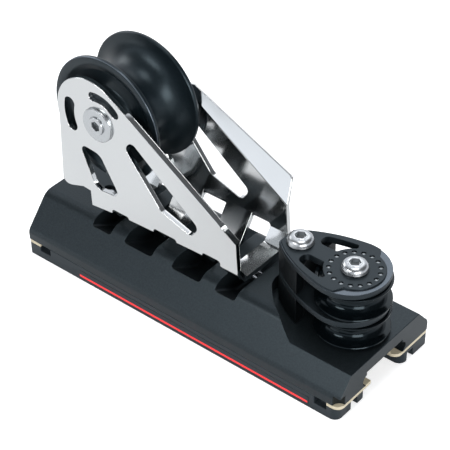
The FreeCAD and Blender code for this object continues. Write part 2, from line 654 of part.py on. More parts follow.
def rail(side, word):
    label = "rail_" + word
    body = leg_plate(label, side, "Sizes.rail_half_in", "Sizes.rail_setback", "0", "Sizes.rail_height")
    groove = new_sketch(body, label + "_groove", "YZ_Plane")
    inner = signed(side, "Sizes.rail_groove_in")
    outer = signed(side, "Sizes.rail_groove_out")
    draw(groove, [(inner, "-1"), (outer, "-1"), (outer, "Sizes.rail_groove_depth"),
                  (inner, "Sizes.rail_groove_depth")])
    pocket(body, groove, "Sizes.body_length", midplane=True)

    reach = signed(side, "Sizes.side_foot_half - Sizes.rail_skirt")
    skirt = new_sketch(body, label + "_skirt", "XY_Plane", "Sizes.rail_height")
    wide = signed(side, "Sizes.side_foot_half")
    draw(skirt, [("-" + WINDOW_NEAR, reach), (WINDOW_NEAR, reach), (WINDOW_NEAR, wide),
                 ("-" + WINDOW_NEAR, wide)])
    pad(body, skirt, "Sizes.guide_thickness - Sizes.fit")

    windows = new_sketch(body, label + "_windows", "XY_Plane", "Sizes.rail_height")
    clear = signed(side, "Sizes.side_foot_half + 1")
    for along in ("", "-"):
        draw(windows, [(along + WINDOW_FAR, reach), (along + WINDOW_FAR, clear),
                       (along + WINDOW_NEAR, clear), (along + WINDOW_NEAR, reach)])
    pocket(body, windows, "Sizes.rail_window_height")

    seam = new_sketch(body, label + "_seam", "XZ_Plane", signed(-side, "Sizes.side_foot_half + 1"))
    top = "(Sizes.seam_height + Sizes.seam_width / 2)"
    under = "(Sizes.seam_height - Sizes.seam_width / 2)"
    foot = "(Sizes.stripe_height - Sizes.stripe_width)"
    draw(seam, [("Sizes.stripe_start", under), ("Sizes.stripe_end + Sizes.seam_width", under),
                ("Sizes.stripe_end + Sizes.seam_width", foot),
                ("Sizes.stripe_end + 2 * Sizes.seam_width", foot),
                ("Sizes.stripe_end + 2 * Sizes.seam_width", top), ("Sizes.stripe_start", top)])
    pocket(body, seam, "Sizes.seam_depth + 1", backwards=side > 0)

    inlay = new_sketch(body, label + "_stripe", "XZ_Plane", signed(-side, "Sizes.side_foot_half + 1"))
    draw(inlay, stripe_outline())
    pocket(body, inlay, "Sizes.stripe_depth + 1", backwards=side > 0)

    screw_holes(body, side, label + "_holes", "0", "Sizes.rail_height", "Sizes.screw_round + Sizes.fit / 2")
    screw_holes(body, side, label + "_seats", "0", "Sizes.screw_head_height + Sizes.fit",
                "Sizes.screw_head_round + Sizes.fit")
    node(body, label)


def stripe_outline():
    low = "Sizes.stripe_height - Sizes.stripe_width / 2"
    high = "Sizes.stripe_height + Sizes.stripe_width / 2"
    return [("Sizes.stripe_start", low), ("Sizes.stripe_end", low), ("Sizes.stripe_end", high),
            ("Sizes.stripe_start", high)]


def stripe(side, word):
    body = new_body("stripe_" + word)
    face = new_sketch(body, "stripe_face_" + word, "XZ_Plane", signed(-side, "Sizes.side_foot_half"))
    draw(face, stripe_outline())
    pad(body, face, "Sizes.stripe_depth", backwards=side < 0)
    node(body, "stripe_" + word)


def many(label, seed, places):
    """Like pieces that share one node: a copy of the seed's shape at each place."""
    DOC.recompute()
    shapes = []
    for place in places:
        copy = seed.Shape.copy()
        copy.Placement = place.multiply(copy.Placement)
        shapes.append(copy)
    return solid_feature(label, Part.makeCompound(shapes))


def rail_screws():
    seed = turned("rail_screw", [
        ("0", "0"),
        ("Sizes.screw_head_round", "0"),
        ("Sizes.screw_head_round", "Sizes.screw_head_height / 3"),
        ("Sizes.screw_round", "Sizes.screw_head_height"),
        ("Sizes.screw_round", "Sizes.screw_head_height + Sizes.screw_length"),
        ("0", "Sizes.screw_head_height + Sizes.screw_length"),
    ])
    places = []
    for along in screw_places():
        for side, _ in SIDES:
            place = Vector(number(sheet, along), side * size("screw_half"), 0)
            places.append(Placement(place, UPRIGHT))
    many("rail_screws", seed, places)


def track_balls(side, word):
    """The loaded row of balls in one race."""
    ball = Part.makeSphere(size("ball_round"))
    room = size("body_length") - 2 * size("guide_corner")
    count = int(room // size("ball_pitch"))
    first = -(count - 1) / 2 * size("ball_pitch")
    shapes = []
    for index in range(count):
        copy = ball.copy()
        copy.translate(Vector(first + index * size("ball_pitch"), side * size("race_half"),
                              number(sheet, RACE_HEIGHT)))
        shapes.append(copy)
    solid_feature("track_balls_" + word, Part.makeCompound(shapes))


def hinge_pin():
    length = "Sizes.pin_front - Sizes.pin_rear"
    node(turned("hinge_pin", [
        ("0", "0"), ("Sizes.pin_round - Sizes.end_edge", "0"), ("Sizes.pin_round", "Sizes.end_edge"),
        ("Sizes.pin_round", length + " - Sizes.end_edge"), ("Sizes.pin_round - Sizes.end_edge", length),
        ("0", length),
    ], LENGTHWISE, x="Sizes.pin_rear", z="Sizes.pin_height"), "hinge_pin")


def hexagon(label, half_width, depth, rotation, **place):
    """A six-sided socket as a cutting tool, drawn downwards from the place given."""
    prism = tool("Prism", label, rotation, **place)
    prism.Polygon = 6
    prism.setExpression("Circumradius", "%s / cos(30 deg)" % half_width)
    prism.setExpression("Height", depth)
    return prism


def pin_lock_screw():
    low = "Sizes.pin_height + Sizes.pin_round + Sizes.fit / 2"
    high = "Sizes.body_top - Sizes.lock_seat_depth"
    length = "(%s - (%s))" % (high, low)
    blank = turned("lock_screw_blank", [
        ("0", "0"), ("Sizes.lock_screw_round", "0"), ("Sizes.lock_screw_round", length), ("0", length),
    ], x="Sizes.lock_screw_x", z=low)
    socket = hexagon("lock_screw_socket", "Sizes.lock_screw_round / 2", "Sizes.body_top",
                     UPRIGHT, x="Sizes.lock_screw_x", z="%s - Sizes.lock_screw_round / 2" % high)
    node(cut("pin_lock_screw", blank, socket), "pin_lock_screw")


# Sheave frame: one folded sheet. Its two cheeks are joined by a band over each outer slot, and by a
# strap through each inner slot that dips under the hinge pin, so that the frame rocks on the pin.

def rounded(points, radii):
    """A closed wire in the XZ plane through the points, each corner rounded by its radius."""
    corners = [Vector(x, 0, z) for x, z in points]
    edges = []
    last = None
    first = None
    for index, corner in enumerate(corners):
        back = (corners[index - 1] - corner).normalize()
        ahead = (corners[(index + 1) % len(corners)] - corner).normalize()
        angle = back.getAngle(ahead)
        reach = radii[index] / math.tan(angle / 2)
        start = corner + back * reach
        end = corner + ahead * reach
        towards = (back + ahead).normalize()
        middle = corner + towards * (radii[index] / math.sin(angle / 2) - radii[index])
        if last is not None and (start - last).Length > 1e-6:
            edges.append(Part.LineSegment(last, start).toShape())
        if radii[index] > 0:
            edges.append(Part.Arc(start, middle, end).toShape())
        if first is None:
            first = start
        last = end
    if (first - last).Length > 1e-6:
        edges.append(Part.LineSegment(last, first).toShape())
    return Part.Wire(Part.__sortEdges__(edges))


def arc_slot(inner, outer, start_degrees, end_degrees):
    """A closed wire round the axle between two radii and two directions, with round ends."""
    middle = (inner + outer) / 2
    half = (outer - inner) / 2

    def at(radius, degrees):
        turn = math.radians(degrees)
        return Vector(size("axle_x") + radius * math.cos(turn), 0, size("axle_z") + radius * math.sin(turn))

    def cap(degrees, direction):
        tip = at(middle, degrees + direction * math.degrees(half / middle))
        return Part.Arc(at(inner, degrees), tip, at(outer, degrees)).toShape()

    centre = (start_degrees + end_degrees) / 2
    edges = [
        Part.Arc(at(inner, start_degrees), at(inner, centre), at(inner, end_degrees)).toShape(),
        Part.Arc(at(outer, start_degrees), at(outer, centre), at(outer, end_degrees)).toShape(),
        cap(start_degrees, -1),
        cap(end_degrees, 1),
    ]
    return Part.Wire(Part.__sortEdges__(edges))


# The cheek's windows, with a letter for each corner in turn.
WINDOWS = {"low_window": "abcd", "great_window": "abcde"}


def spot(name):
    """A point of the cheek's outline, along the car and up."""
    return size(name + "_x"), size(name + "_z")


def slab(wire, low, high):
    """The region inside a wire of the XZ plane, thick from y = low to y = high."""
    face = Part.Face(wire)
    solid = face.extrude(Vector(0, high - low, 0))
    solid.translate(Vector(0, low, 0))
    return solid


def cheek_outline():
    """The flat part of a cheek, up to its folds."""
    crown = crown_centre()
    radius = size("crown_round")
    high_x, high_z = spot("front_edge_high")
    edge_high = Vector(high_x, 0, high_z)
    to_edge = edge_high - crown
    # The front edge leaves the round top as a tangent to it.
    bearing = math.atan2(to_edge.z, to_edge.x) + math.acos(radius / to_edge.Length)
    leave = crown + Vector(math.cos(bearing), 0, math.sin(bearing)) * radius
    top = crown + Vector(math.cos(math.radians(130)), 0, math.sin(math.radians(130))) * radius
    names = ["front_fold_high", "front_fold_low", "front_foot", "sole_front", "sole_rear", "rear_foot",
             "rear_step", "rear_fold_low"]
    path = [edge_high] + [Vector(x, 0, z) for x, z in map(spot, names)] + [rear_fold_high()]
    edges = [Part.Arc(path[-1], top, leave).toShape(), Part.LineSegment(leave, edge_high).toShape()]
    for start, end in zip(path, path[1:]):
        edges.append(Part.LineSegment(start, end).toShape())
    return Part.Wire(Part.__sortEdges__(edges))


def crown_centre():
    return Vector(size("axle_x") - size("crown_back"), 0, size("axle_z") + size("crown_rise"))


def rear_fold_high():
    """Where the rear fold runs out on the round top."""
    crown = crown_centre()
    height = size("rear_fold_height")
    drop = height - crown.z
    return Vector(crown.x - math.sqrt(size("crown_round") ** 2 - drop * drop), 0, height)


def thickened(corner, normals):
    """The corner on the other face of the sheet, at one sheet from every facet that meets in it."""
    thickness = size("sheet")
    if len(normals) == 1:
        return corner + normals[0] * thickness
    if len(normals) == 2:
        return corner + (normals[0] + normals[1]) * (thickness / (1 + normals[0].dot(normals[1])))
    first, second, third = normals
    across = second.cross(third)
    total = across + third.cross(first) + first.cross(second)
    return corner + total * (thickness / first.dot(across))


def bent_plate(corners, facets, inward, round_corner, radius):
    """A plate with folds, from the flat facets of its outer face.

    Each facet lists the numbers of its corners. The plate is one sheet thick towards the inner side,
    and one free corner of it is rounded.
    """
    normals = []
    for facet in facets:
        first, second, third = (corners[i] for i in facet[:3])
        normal = (second - first).cross(third - first).normalize()
        normals.append(normal if normal.dot(inward) > 0 else normal * -1)
    inner = []
    for index, corner in enumerate(corners):
        around = []
        for normal, facet in zip(normals, facets):
            if index in facet and all(normal.dot(other) < 0.9999 for other in around):
                around.append(normal)
        inner.append(thickened(corner, around))
    sides = {}
    for facet in facets:
        for pair in zip(facet, facet[1:] + facet[:1]):
            sides.setdefault(frozenset(pair), []).append(pair)
    loops = []
    for facet in facets:
        loops += [[corners[i] for i in facet], [inner[i] for i in facet]]
    for pairs in sides.values():
        if len(pairs) == 1:
            start, end = pairs[0]
            loops += [[corners[start], corners[end], inner[end]],
                      [corners[start], inner[end], inner[start]]]
    faces = [Part.Face(Part.makePolygon(loop + loop[:1])) for loop in loops]
    solid = Part.Solid(Part.Shell(faces))
    if solid.Volume < 0:
        solid.reverse()
    solid = solid.removeSplitter()
    middle = (corners[round_corner] + inner[round_corner]) * 0.5
    edge = min(solid.Edges, key=lambda edge: (edge.CenterOfMass - middle).Length)
    return solid.makeFillet(radius, [edge])


def front_flare(side):
    """The front edge of a cheek: a widening leaf, the twisted piece above it and a strip of cheek."""
    out = size("cheek_half_out") * side
    outward = Vector(0, side, 0)
    low, high, head = (Vector(x, out, z) for x, z in map(
        spot, ["front_fold_low", "front_fold_high", "front_edge_high"]))
    along = (high - low).normalize()
    ahead = Vector(along.z, 0, -along.x)
    bend = math.radians(size("flare_degrees"))
    leaf = ahead * math.cos(bend) + outward * math.sin(bend)
    head_edge = high + leaf * size("flare_head_width")
    foot_edge = low + leaf * size("flare_foot_width") + along * size("flare_foot_rise")
    back = ahead * -size("fold_strip")
    corners = [low, high, head_edge, foot_edge, head, low + back, high + back, head + back]
    facets = [[0, 1, 2, 3], [1, 4, 2], [0, 1, 6, 5], [1, 4, 7, 6]]
    return bent_plate(corners, facets, outward * -1, 3, size("flare_corner"))


def rear_flare(side):
    """The rear edge of a cheek: a leaf that widens downwards, and a strip of cheek."""
    out = size("cheek_half_out") * side
    outward = Vector(0, side, 0)
    low_x, low_z = spot("rear_fold_low")
    low = Vector(low_x, out, low_z)
    high = rear_fold_high()
    high.y = out
    bend = math.radians(size("rear_flare_degrees"))
    along = (high - low).normalize()
    behind = Vector(-along.z, 0, along.x)
    leaf = behind * math.cos(bend) + outward * math.sin(bend)
    tip = low + leaf * size("rear_flare_width")
    tip = tip + along * ((low.z - tip.z) / along.z)
    back = behind * -size("fold_strip")
    corners = [low, high, tip, low + back, high + back]
    facets = [[0, 1, 2], [0, 1, 4, 3]]
    return bent_plate(corners, facets, outward * -1, 2, size("rear_flare_corner"))


def strap_section():
    """Section of a strap: down from one cheek, round under the pin and up to the other cheek."""
    tilt = math.radians(size("strap_tilt"))
    inner = size("pin_round") + size("running_fit")
    outer = inner + size("sheet")
    centre = Vector(0, 0, size("pin_height"))
    slope = Vector(0, math.cos(tilt), math.sin(tilt))
    away = Vector(0, math.sin(tilt), -math.cos(tilt))

    def leg(radius, half):
        foot = centre + away * radius
        return foot, foot + slope * ((half - foot.y) / slope.y)

    half_out = size("cheek_half_out")
    half_in = half_out - size("sheet")
    foot_out, head_out = leg(outer, half_out)
    foot_in, head_in = leg(inner, half_in)
    top = max(head_in.z, head_out.z) + size("sheet")

    def mirrored(point):
        return Vector(0, -point.y, point.z)

    outline = [Vector(0, half_in, top), Vector(0, half_out, top), head_out, foot_out]
    edges = [Part.LineSegment(a, b).toShape() for a, b in zip(outline, outline[1:])]
    edges.append(Part.Arc(foot_out, centre - Vector(0, 0, outer), mirrored(foot_out)).toShape())
    back = [mirrored(point) for point in reversed(outline)]
    back += [mirrored(head_in), mirrored(foot_in)]
    edges += [Part.LineSegment(a, b).toShape() for a, b in zip(back, back[1:])]
    edges.append(Part.Arc(mirrored(foot_in), centre - Vector(0, 0, inner), foot_in).toShape())
    close = [foot_in, head_in, outline[0]]
    edges += [Part.LineSegment(a, b).toShape() for a, b in zip(close, close[1:])]
    return Part.Face(Part.Wire(Part.__sortEdges__(edges)))


def band_section():
    """Section of an end band: a level strip between two short slopes."""
    tilt = math.radians(size("strap_tilt"))
    half_out = size("cheek_half_out")
    sheet_in = size("sheet")
    half_in = half_out - sheet_in
    low = size("band_top") - sheet_in
    corner_out = low + sheet_in
    run = sheet_in * math.tan(math.radians(90 - size("strap_tilt")) / 2)
    rise = size("front_foot_z") + run / 2
    drop_half = half_in - (rise - size("band_top")) / math.tan(tilt)
    low_half = drop_half + sheet_in * math.tan(tilt / 2)
    head_out = low + (half_out - low_half) * math.tan(tilt)
    points = [
        Vector(0, half_in, rise + run), Vector(0, half_out, rise + run), Vector(0, half_out, head_out),
        Vector(0, low_half, low), Vector(0, -low_half, low), Vector(0, -half_out, head_out),
        Vector(0, -half_out, rise + run), Vector(0, -half_in, rise + run), Vector(0, -half_in, rise),
        Vector(0, -drop_half, corner_out), Vector(0, drop_half, corner_out), Vector(0, half_in, rise),
    ]
    return Part.Face(Part.makePolygon(points + points[:1]))


def sole_height(along):
    """Height of the cheek's lower edge at this place along the car."""
    corners = [spot(name) for name in ("rear_foot", "sole_rear", "sole_front", "front_foot")]
    for (start, low), (end, high) in zip(corners, corners[1:]):
        if start <= along <= end:
            return low + (high - low) * (along - start) / (end - start)
    raise RuntimeError("the cheek's lower edge doesn't reach x = %s" % along)


def sheave_frame():
    half_out = size("cheek_half_out")
    half_in = half_out - size("sheet")
    gap = size("strap_side_gap")
    spans = []
    for name, middle, width in slot_places():
        centre = number(sheet, middle)
        half = number(sheet, width) / 2 - gap
        spans.append((name, centre - half, centre + half))

    cheek = slab(cheek_outline(), half_in, half_out)
    cut_outs = []
    axle_x = size("axle_x")
    axle_z = size("axle_z")
    for name, letters in WINDOWS.items():
        points = [(axle_x + size("%s_x_%s" % (name, letter)), axle_z + size("%s_z_%s" % (name, letter)))
                  for letter in letters]
        wire = rounded(points, [size("%s_r_%s" % (name, letter)) for letter in letters])
        cut_outs.append(slab(wire, half_in - 1, half_out + 1))
    for name in ("kidney", "curved"):
        slot = [size(name + "_" + word) for word in ("in", "out", "start_degrees", "end_degrees")]
        cut_outs.append(slab(arc_slot(*slot), half_in - 1, half_out + 1))
    hole = Part.makeCylinder(size("spigot_round") + size("fit") / 2, size("sheet") + 2,
                             Vector(axle_x, half_in - 1, axle_z), Vector(0, 1, 0))
    cut_outs.append(hole)
    # Notches let the lands between the slots pass under the cheek.
    for (_, _, start), (_, end, _) in zip(spans, spans[1:]):
        top = sole_height((start + end) / 2) + size("notch_rise")
        corner = size("notch_round")
        wire = rounded([(start, 0), (end, 0), (end, top), (start, top)], [0, 0, corner, corner])
        cut_outs.append(slab(wire, half_in - 1, half_out + 1))
    cheek = cheek.cut(cut_outs)

    shapes = [cheek, cheek.mirror(Vector(), Vector(0, 1, 0))]
    for side, _ in SIDES:
        shapes += [front_flare(side), rear_flare(side)]
    for name, start, end in spans:
        section = strap_section() if name.startswith("mid") else band_section()
        piece = section.extrude(Vector(end - start, 0, 0))
        piece.translate(Vector(start, 0, 0))
        shapes.append(piece)
    whole = shapes[0].fuse(shapes[1:]).removeSplitter()
    return solid_feature("sheave_frame", whole.Solids[0] if len(whole.Solids) == 1 else whole)


# Main sheave on rollers, its axle and bushes.

def main_sheave():
    half = "(Sizes.sheave_width / 2)"
    bore = "Sizes.race_ring_round + 2 * Sizes.roller_round + Sizes.running_gap"
    blank = turned("sheave_blank", [
        (bore, "-" + half),
        ("Sizes.sheave_hub", "-" + half),
        ("Sizes.sheave_hub", "-%s + Sizes.sheave_dish" % half),
        ("Sizes.sheave_rim_in", "-%s + Sizes.sheave_dish" % half),
        ("Sizes.sheave_rim_in + Sizes.sheave_dish", "-" + half),
        ("Sizes.sheave_round", "-" + half),
        ("Sizes.sheave_round", half),
        ("Sizes.sheave_rim_in + Sizes.sheave_dish", half),
        ("Sizes.sheave_rim_in", "%s - Sizes.sheave_dish" % half),
        ("Sizes.sheave_hub", "%s - Sizes.sheave_dish" % half),
        ("Sizes.sheave_hub", half),
        (bore, half),
    ], CROSSWISE, x="Sizes.axle_x", z="Sizes.axle_z")
    groove = tool("Torus", "sheave_groove", CROSSWISE, x="Sizes.axle_x", z="Sizes.axle_z",
                  Radius1="Sizes.sheave_round - Sizes.groove_depth + Sizes.groove_round",
                  Radius2="Sizes.groove_round")
    node(cut("main_sheave", blank, groove), "main_sheave")


def main_bearing():
    half = "(Sizes.cheek_half_out - Sizes.sheet)"
    node(turned("bearing_ring", ring_profile("Sizes.spigot_round + Sizes.fit / 2", "Sizes.race_ring_round",
                                             "-%s + Sizes.fit" % half, "%s - Sizes.fit" % half),
                CROSSWISE, x="Sizes.axle_x", z="Sizes.axle_z"), "bearing_ring")
    # The rollers keep a small clearance to the ring and to the sheave's bore.
    pitch = size("race_ring_round") + size("roller_round") + size("running_gap") / 2
    shapes = []
    for index in range(int(size("roller_count"))):
        turn = 2 * math.pi * index / size("roller_count")
        centre = Vector(size("axle_x") + pitch * math.cos(turn), -size("roller_length") / 2,
                        size("axle_z") + pitch * math.sin(turn))
        shapes.append(Part.makeCylinder(size("roller_round"), size("roller_length"), centre,
                                        Vector(0, 1, 0)))
    solid_feature("bearing_rollers", Part.makeCompound(shapes))


def axle_parts():
    cheek_in = "(Sizes.cheek_half_out - Sizes.sheet)"
    for side, word in SIDES:
        bush = turned("axle_bush_" + word, [
            ("Sizes.axle_bolt_round + Sizes.fit", "-%s" % signed(1, "2 * Sizes.sheet")),
            ("Sizes.spigot_round", "-2 * Sizes.sheet"),
            ("Sizes.spigot_round", "Sizes.fit / 10"),
            ("Sizes.bush_round", "Sizes.fit / 10"),
            ("Sizes.bush_round", "Sizes.bush_proud - Sizes.end_edge"),
            ("Sizes.bush_round - Sizes.end_edge", "Sizes.bush_proud"),
            ("Sizes.axle_head_round + Sizes.fit", "Sizes.bush_proud"),
            ("Sizes.axle_head_round + Sizes.fit", "Sizes.bush_proud - Sizes.axle_head_height / 2"),
            ("Sizes.axle_bolt_round + Sizes.fit", "Sizes.bush_proud - Sizes.axle_head_height / 2"),
        ], CROSSWISE if side > 0 else Rotation(Vector(1, 0, 0), 90), x="Sizes.axle_x",
            y=signed(side, "Sizes.cheek_half_out"), z="Sizes.axle_z")
        node(bush, "axle_bush_" + word)
        washer = turned("side_washer_" + word, ring_profile(
            "Sizes.race_ring_round + Sizes.fit", "Sizes.washer_round",
            "%s - Sizes.washer_thickness" % cheek_in, cheek_in + " - Sizes.fit / 10"),
            CROSSWISE if side > 0 else Rotation(Vector(1, 0, 0), 90), x="Sizes.axle_x", z="Sizes.axle_z")
        node(washer, "side_washer_" + word)

    seat = "(Sizes.cheek_half_out + Sizes.bush_proud - Sizes.axle_head_height / 2)"
    blank = turned("axle_bolt_blank", [
        ("0", "-%s - Sizes.axle_head_height" % seat),
        ("Sizes.axle_head_round", "-%s - Sizes.axle_head_height" % seat),
        ("Sizes.axle_head_round", "-" + seat),
        ("Sizes.axle_bolt_round", "-" + seat),
        ("Sizes.axle_bolt_round", seat),
        ("0", seat),
    ], CROSSWISE, x="Sizes.axle_x", z="Sizes.axle_z")
    socket = hexagon("axle_bolt_socket", "Sizes.axle_socket", "Sizes.sheet + Sizes.axle_head_height",
                     CROSSWISE, x="Sizes.axle_x", y="-%s - Sizes.axle_head_height" % seat,
                     z="Sizes.axle_z")
    node(cut("axle_bolt", blank, socket), "axle_bolt")
    nut = turned("axle_nut", ring_profile("Sizes.axle_bolt_round + Sizes.fit / 2", "Sizes.axle_head_round",
                                          "-Sizes.axle_head_height / 2", "Sizes.axle_head_height / 2"),
                 CROSSWISE, x="Sizes.axle_x", y="Sizes.cheek_half_out + Sizes.bush_proud",
                 z="Sizes.axle_z")
    node(nut, "axle_nut")


# Control block: three plates, two post spacers, two sheaves on a sleeve, and two long bolts.

def teardrop():
    """Plan of the block's plates: a blunt nose that widens to a round end."""
    end = "Sizes.block_end_round"
    drop = "(Sizes.block_side_x - Sizes.block_end_x)"
    half = "sqrt(%s * %s - %s * %s)" % (end, end, drop, drop)
    return [
        ("Sizes.nose_x", "Sizes.nose_half"),
        ("Sizes.nose_x", "-Sizes.nose_half"),
        ("Sizes.nose_side_x", "-Sizes.nose_side_half", "Sizes.block_side_round"),
        ("Sizes.block_side_x", "-" + half, end),
        ("Sizes.block_end_x + " + end, "0", end),
        ("Sizes.block_side_x", half, "Sizes.block_side_round"),
        ("Sizes.nose_side_x", "Sizes.nose_side_half"),
    ]


def bolt_bores(body, label, low, depth, centre_radius, post_radius):
    holes = new_sketch(body, label, "XY_Plane", low)
    draw_circle(holes, "Sizes.block_x", "0", centre_radius)
    draw_circle(holes, "Sizes.post_x", "0", post_radius)
    pocket(body, holes, depth, backwards=True)


def plate(label, low, thickness, centre_radius):
    body = new_body(label)
    plan = new_sketch(body, label + "_plan", "XY_Plane", low)
    draw(plan, teardrop())
    pad(body, plan, thickness)
    bolt_bores(body, label + "_bores", low, thickness, centre_radius, "Sizes.bolt_round + Sizes.fit")
    return body


def ball_track(body, label, height, backwards):
    """A round track in the top plate's underside, which holds most of each ball of the ring."""
    track = new_sketch(body, label, "XY_Plane", height)
    half = "(Sizes.bead_round + Sizes.fit)"
    draw_circle(track, "Sizes.block_x", "0", "Sizes.bead_ring + " + half)
    draw_circle(track, "Sizes.block_x", "0", "Sizes.bead_ring - " + half)
    pocket(body, track, "Sizes.bead_lift + Sizes.bead_round + Sizes.fit", backwards=backwards)


def base_washer():
    node(turned("base_washer", ring_profile("Sizes.bolt_round + Sizes.fit", "Sizes.base_round",
                                            "0", "Sizes.base_thickness"),
                x="Sizes.block_x", z="Sizes.deck_height"), "base_washer")


def middle_plate():
    body = plate("middle_plate", MIDDLE_LOW, "Sizes.middle_thickness", "Sizes.sleeve_round + Sizes.fit")
    node(body, "middle_plate")


def top_slot(side):
    """Outline of a lightening slot of the top plate, beside the ball ring."""
    ring = "Sizes.slot_ring"
    inner = "Sizes.slot_half_in"
    near_x = "Sizes.block_x - sqrt(%s * %s - %s * %s)" % (ring, ring, inner, inner)
    far = "(Sizes.block_x - Sizes.slot_end - 1)"
    return [
        ("Sizes.slot_start", signed(side, inner)),
        (near_x, signed(side, inner), signed(-side, ring)),
        ("Sizes.block_x - " + far, signed(side, "sqrt(%s * %s - %s * %s)" % (ring, ring, far, far))),
        ("Sizes.slot_end", signed(side, "Sizes.slot_half_end"), signed(side, "Sizes.block_side_round")),
        ("Sizes.slot_start", signed(side, "Sizes.slot_half_start")),
    ]


def top_plate():
    body = plate("top_plate", TOP_LOW, "Sizes.top_thickness", "Sizes.bolt_round + Sizes.fit")
    raised = new_sketch(body, "raised_face", "XY_Plane", TOP_LOW + " + Sizes.top_thickness")
    edge = "Sizes.top_raise_edge"
    end = "Sizes.top_raise_round"
    lead = "(Sizes.block_end_round / 5)"
    drop = "(Sizes.block_side_x - Sizes.block_end_x)"
    out = "(Sizes.block_end_round - %s)" % edge
    half = "sqrt(%s * %s - %s * %s)" % (out, out, drop, drop)
    arc_half = "sqrt(%s * %s - %s * %s)" % (end, end, lead, lead)
    draw(raised, [
        ("Sizes.nose_x + " + edge, "Sizes.nose_half - " + edge),
        ("Sizes.nose_x + " + edge, "-Sizes.nose_half + " + edge),
        ("Sizes.nose_side_x", "-Sizes.nose_side_half + " + edge, "Sizes.block_side_round"),
        ("Sizes.block_side_x", "-" + half, out),
        ("Sizes.block_end_x + " + lead, "-sqrt(%s * %s - %s * %s)" % (out, out, lead, lead)),
        ("Sizes.block_x + " + lead, "-" + arc_half, end),
        ("Sizes.block_x + " + lead, arc_half),
        ("Sizes.block_end_x + " + lead, "sqrt(%s * %s - %s * %s)" % (out, out, lead, lead), out),
        ("Sizes.block_side_x", half, "Sizes.block_side_round"),
        ("Sizes.nose_side_x", "Sizes.nose_side_half - " + edge),
    ])
    pad(body, raised, "Sizes.top_raise")
    bolt_bores(body, "top_plate_bores", TOP_LOW, "Sizes.top_thickness + Sizes.top_raise",
               "Sizes.bolt_round + Sizes.fit", "Sizes.bolt_round + Sizes.fit")
    for side, word in SIDES:
        slot = new_sketch(body, "top_slot_" + word, "XY_Plane", TOP_LOW)
        draw(slot, top_slot(side))
        pocket(body, slot, "Sizes.top_thickness + Sizes.top_raise", backwards=True)
    whole = number(body, "Sizes.top_thickness + Sizes.top_raise")
    start = size("slot_start")
    turn = number(body, "Sizes.block_x + " + lead)

    def upright(edge, height):
        return abs(edge.BoundBox.ZLength - height) < 0.01 and edge.BoundBox.DiagonalLength - height < 0.01

    def first(edge):
        return upright(edge, whole) and abs(edge.BoundBox.XMin - start) < 0.01

    def other(edge):
        return upright(edge, whole) and edge.BoundBox.XMin > start + 2 * size("slot_corner")

    def inward(edge):
        return (upright(edge, size("top_raise")) and abs(edge.BoundBox.XMin - turn) < 0.01
                and abs(edge.BoundBox.YMin) < size("top_raise_round"))

    DOC.recompute()
    round_edges(body, "slot_corners", "Sizes.slot_corner", first)
    round_edges(body, "slot_end_corners", "Sizes.slot_end_corner", other)
    round_edges(body, "raise_corners", "Sizes.raise_corner", inward)
    ball_track(body, "top_ball_track", TOP_LOW, True)
    holes = new_sketch(body, "sight_holes", "XY_Plane", TOP_LOW)
    count = int(size("bead_count"))
    for index in range(count):
        turn = "%d * 360 deg / Sizes.bead_count" % index
        draw_circle(holes, "Sizes.block_x + Sizes.bead_ring * cos(%s)" % turn,
                    "Sizes.bead_ring * sin(%s)" % turn, "Sizes.bead_hole")
    pocket(body, holes, "Sizes.top_thickness + Sizes.top_raise", backwards=True)
    node(body, "top_plate")


def post_spacer(label, low, high):
    """Fills the narrow end between two plates and ends in a hollow round the sheave."""
    body = new_body(label)
    plan = new_sketch(body, label + "_plan", "XY_Plane", low)
    draw(plan, teardrop())
    thickness = "(%s) - (%s)" % (high, low)
    pad(body, plan, thickness)
    away = new_sketch(body, label + "_end", "XY_Plane", low)
    draw(away, [
        ("Sizes.spacer_end", "-Sizes.block_end_round - 1"),
        ("Sizes.block_x + Sizes.block_end_round + 1", "-Sizes.block_end_round - 1"),
        ("Sizes.block_x + Sizes.block_end_round + 1", "Sizes.block_end_round + 1"),
        ("Sizes.spacer_end", "Sizes.block_end_round + 1"),
    ])
    pocket(body, away, thickness, backwards=True)
    round_hole = new_sketch(body, label + "_hollow", "XY_Plane", low)
    draw_circle(round_hole, "Sizes.block_x", "0", "Sizes.control_round + Sizes.spacer_gap")
    pocket(body, round_hole, thickness, backwards=True)
    bore = new_sketch(body, label + "_bore", "XY_Plane", low)
    draw_circle(bore, "Sizes.post_x", "0", "Sizes.bolt_round + Sizes.fit")
    pocket(body, bore, thickness, backwards=True)
    node(body, label)


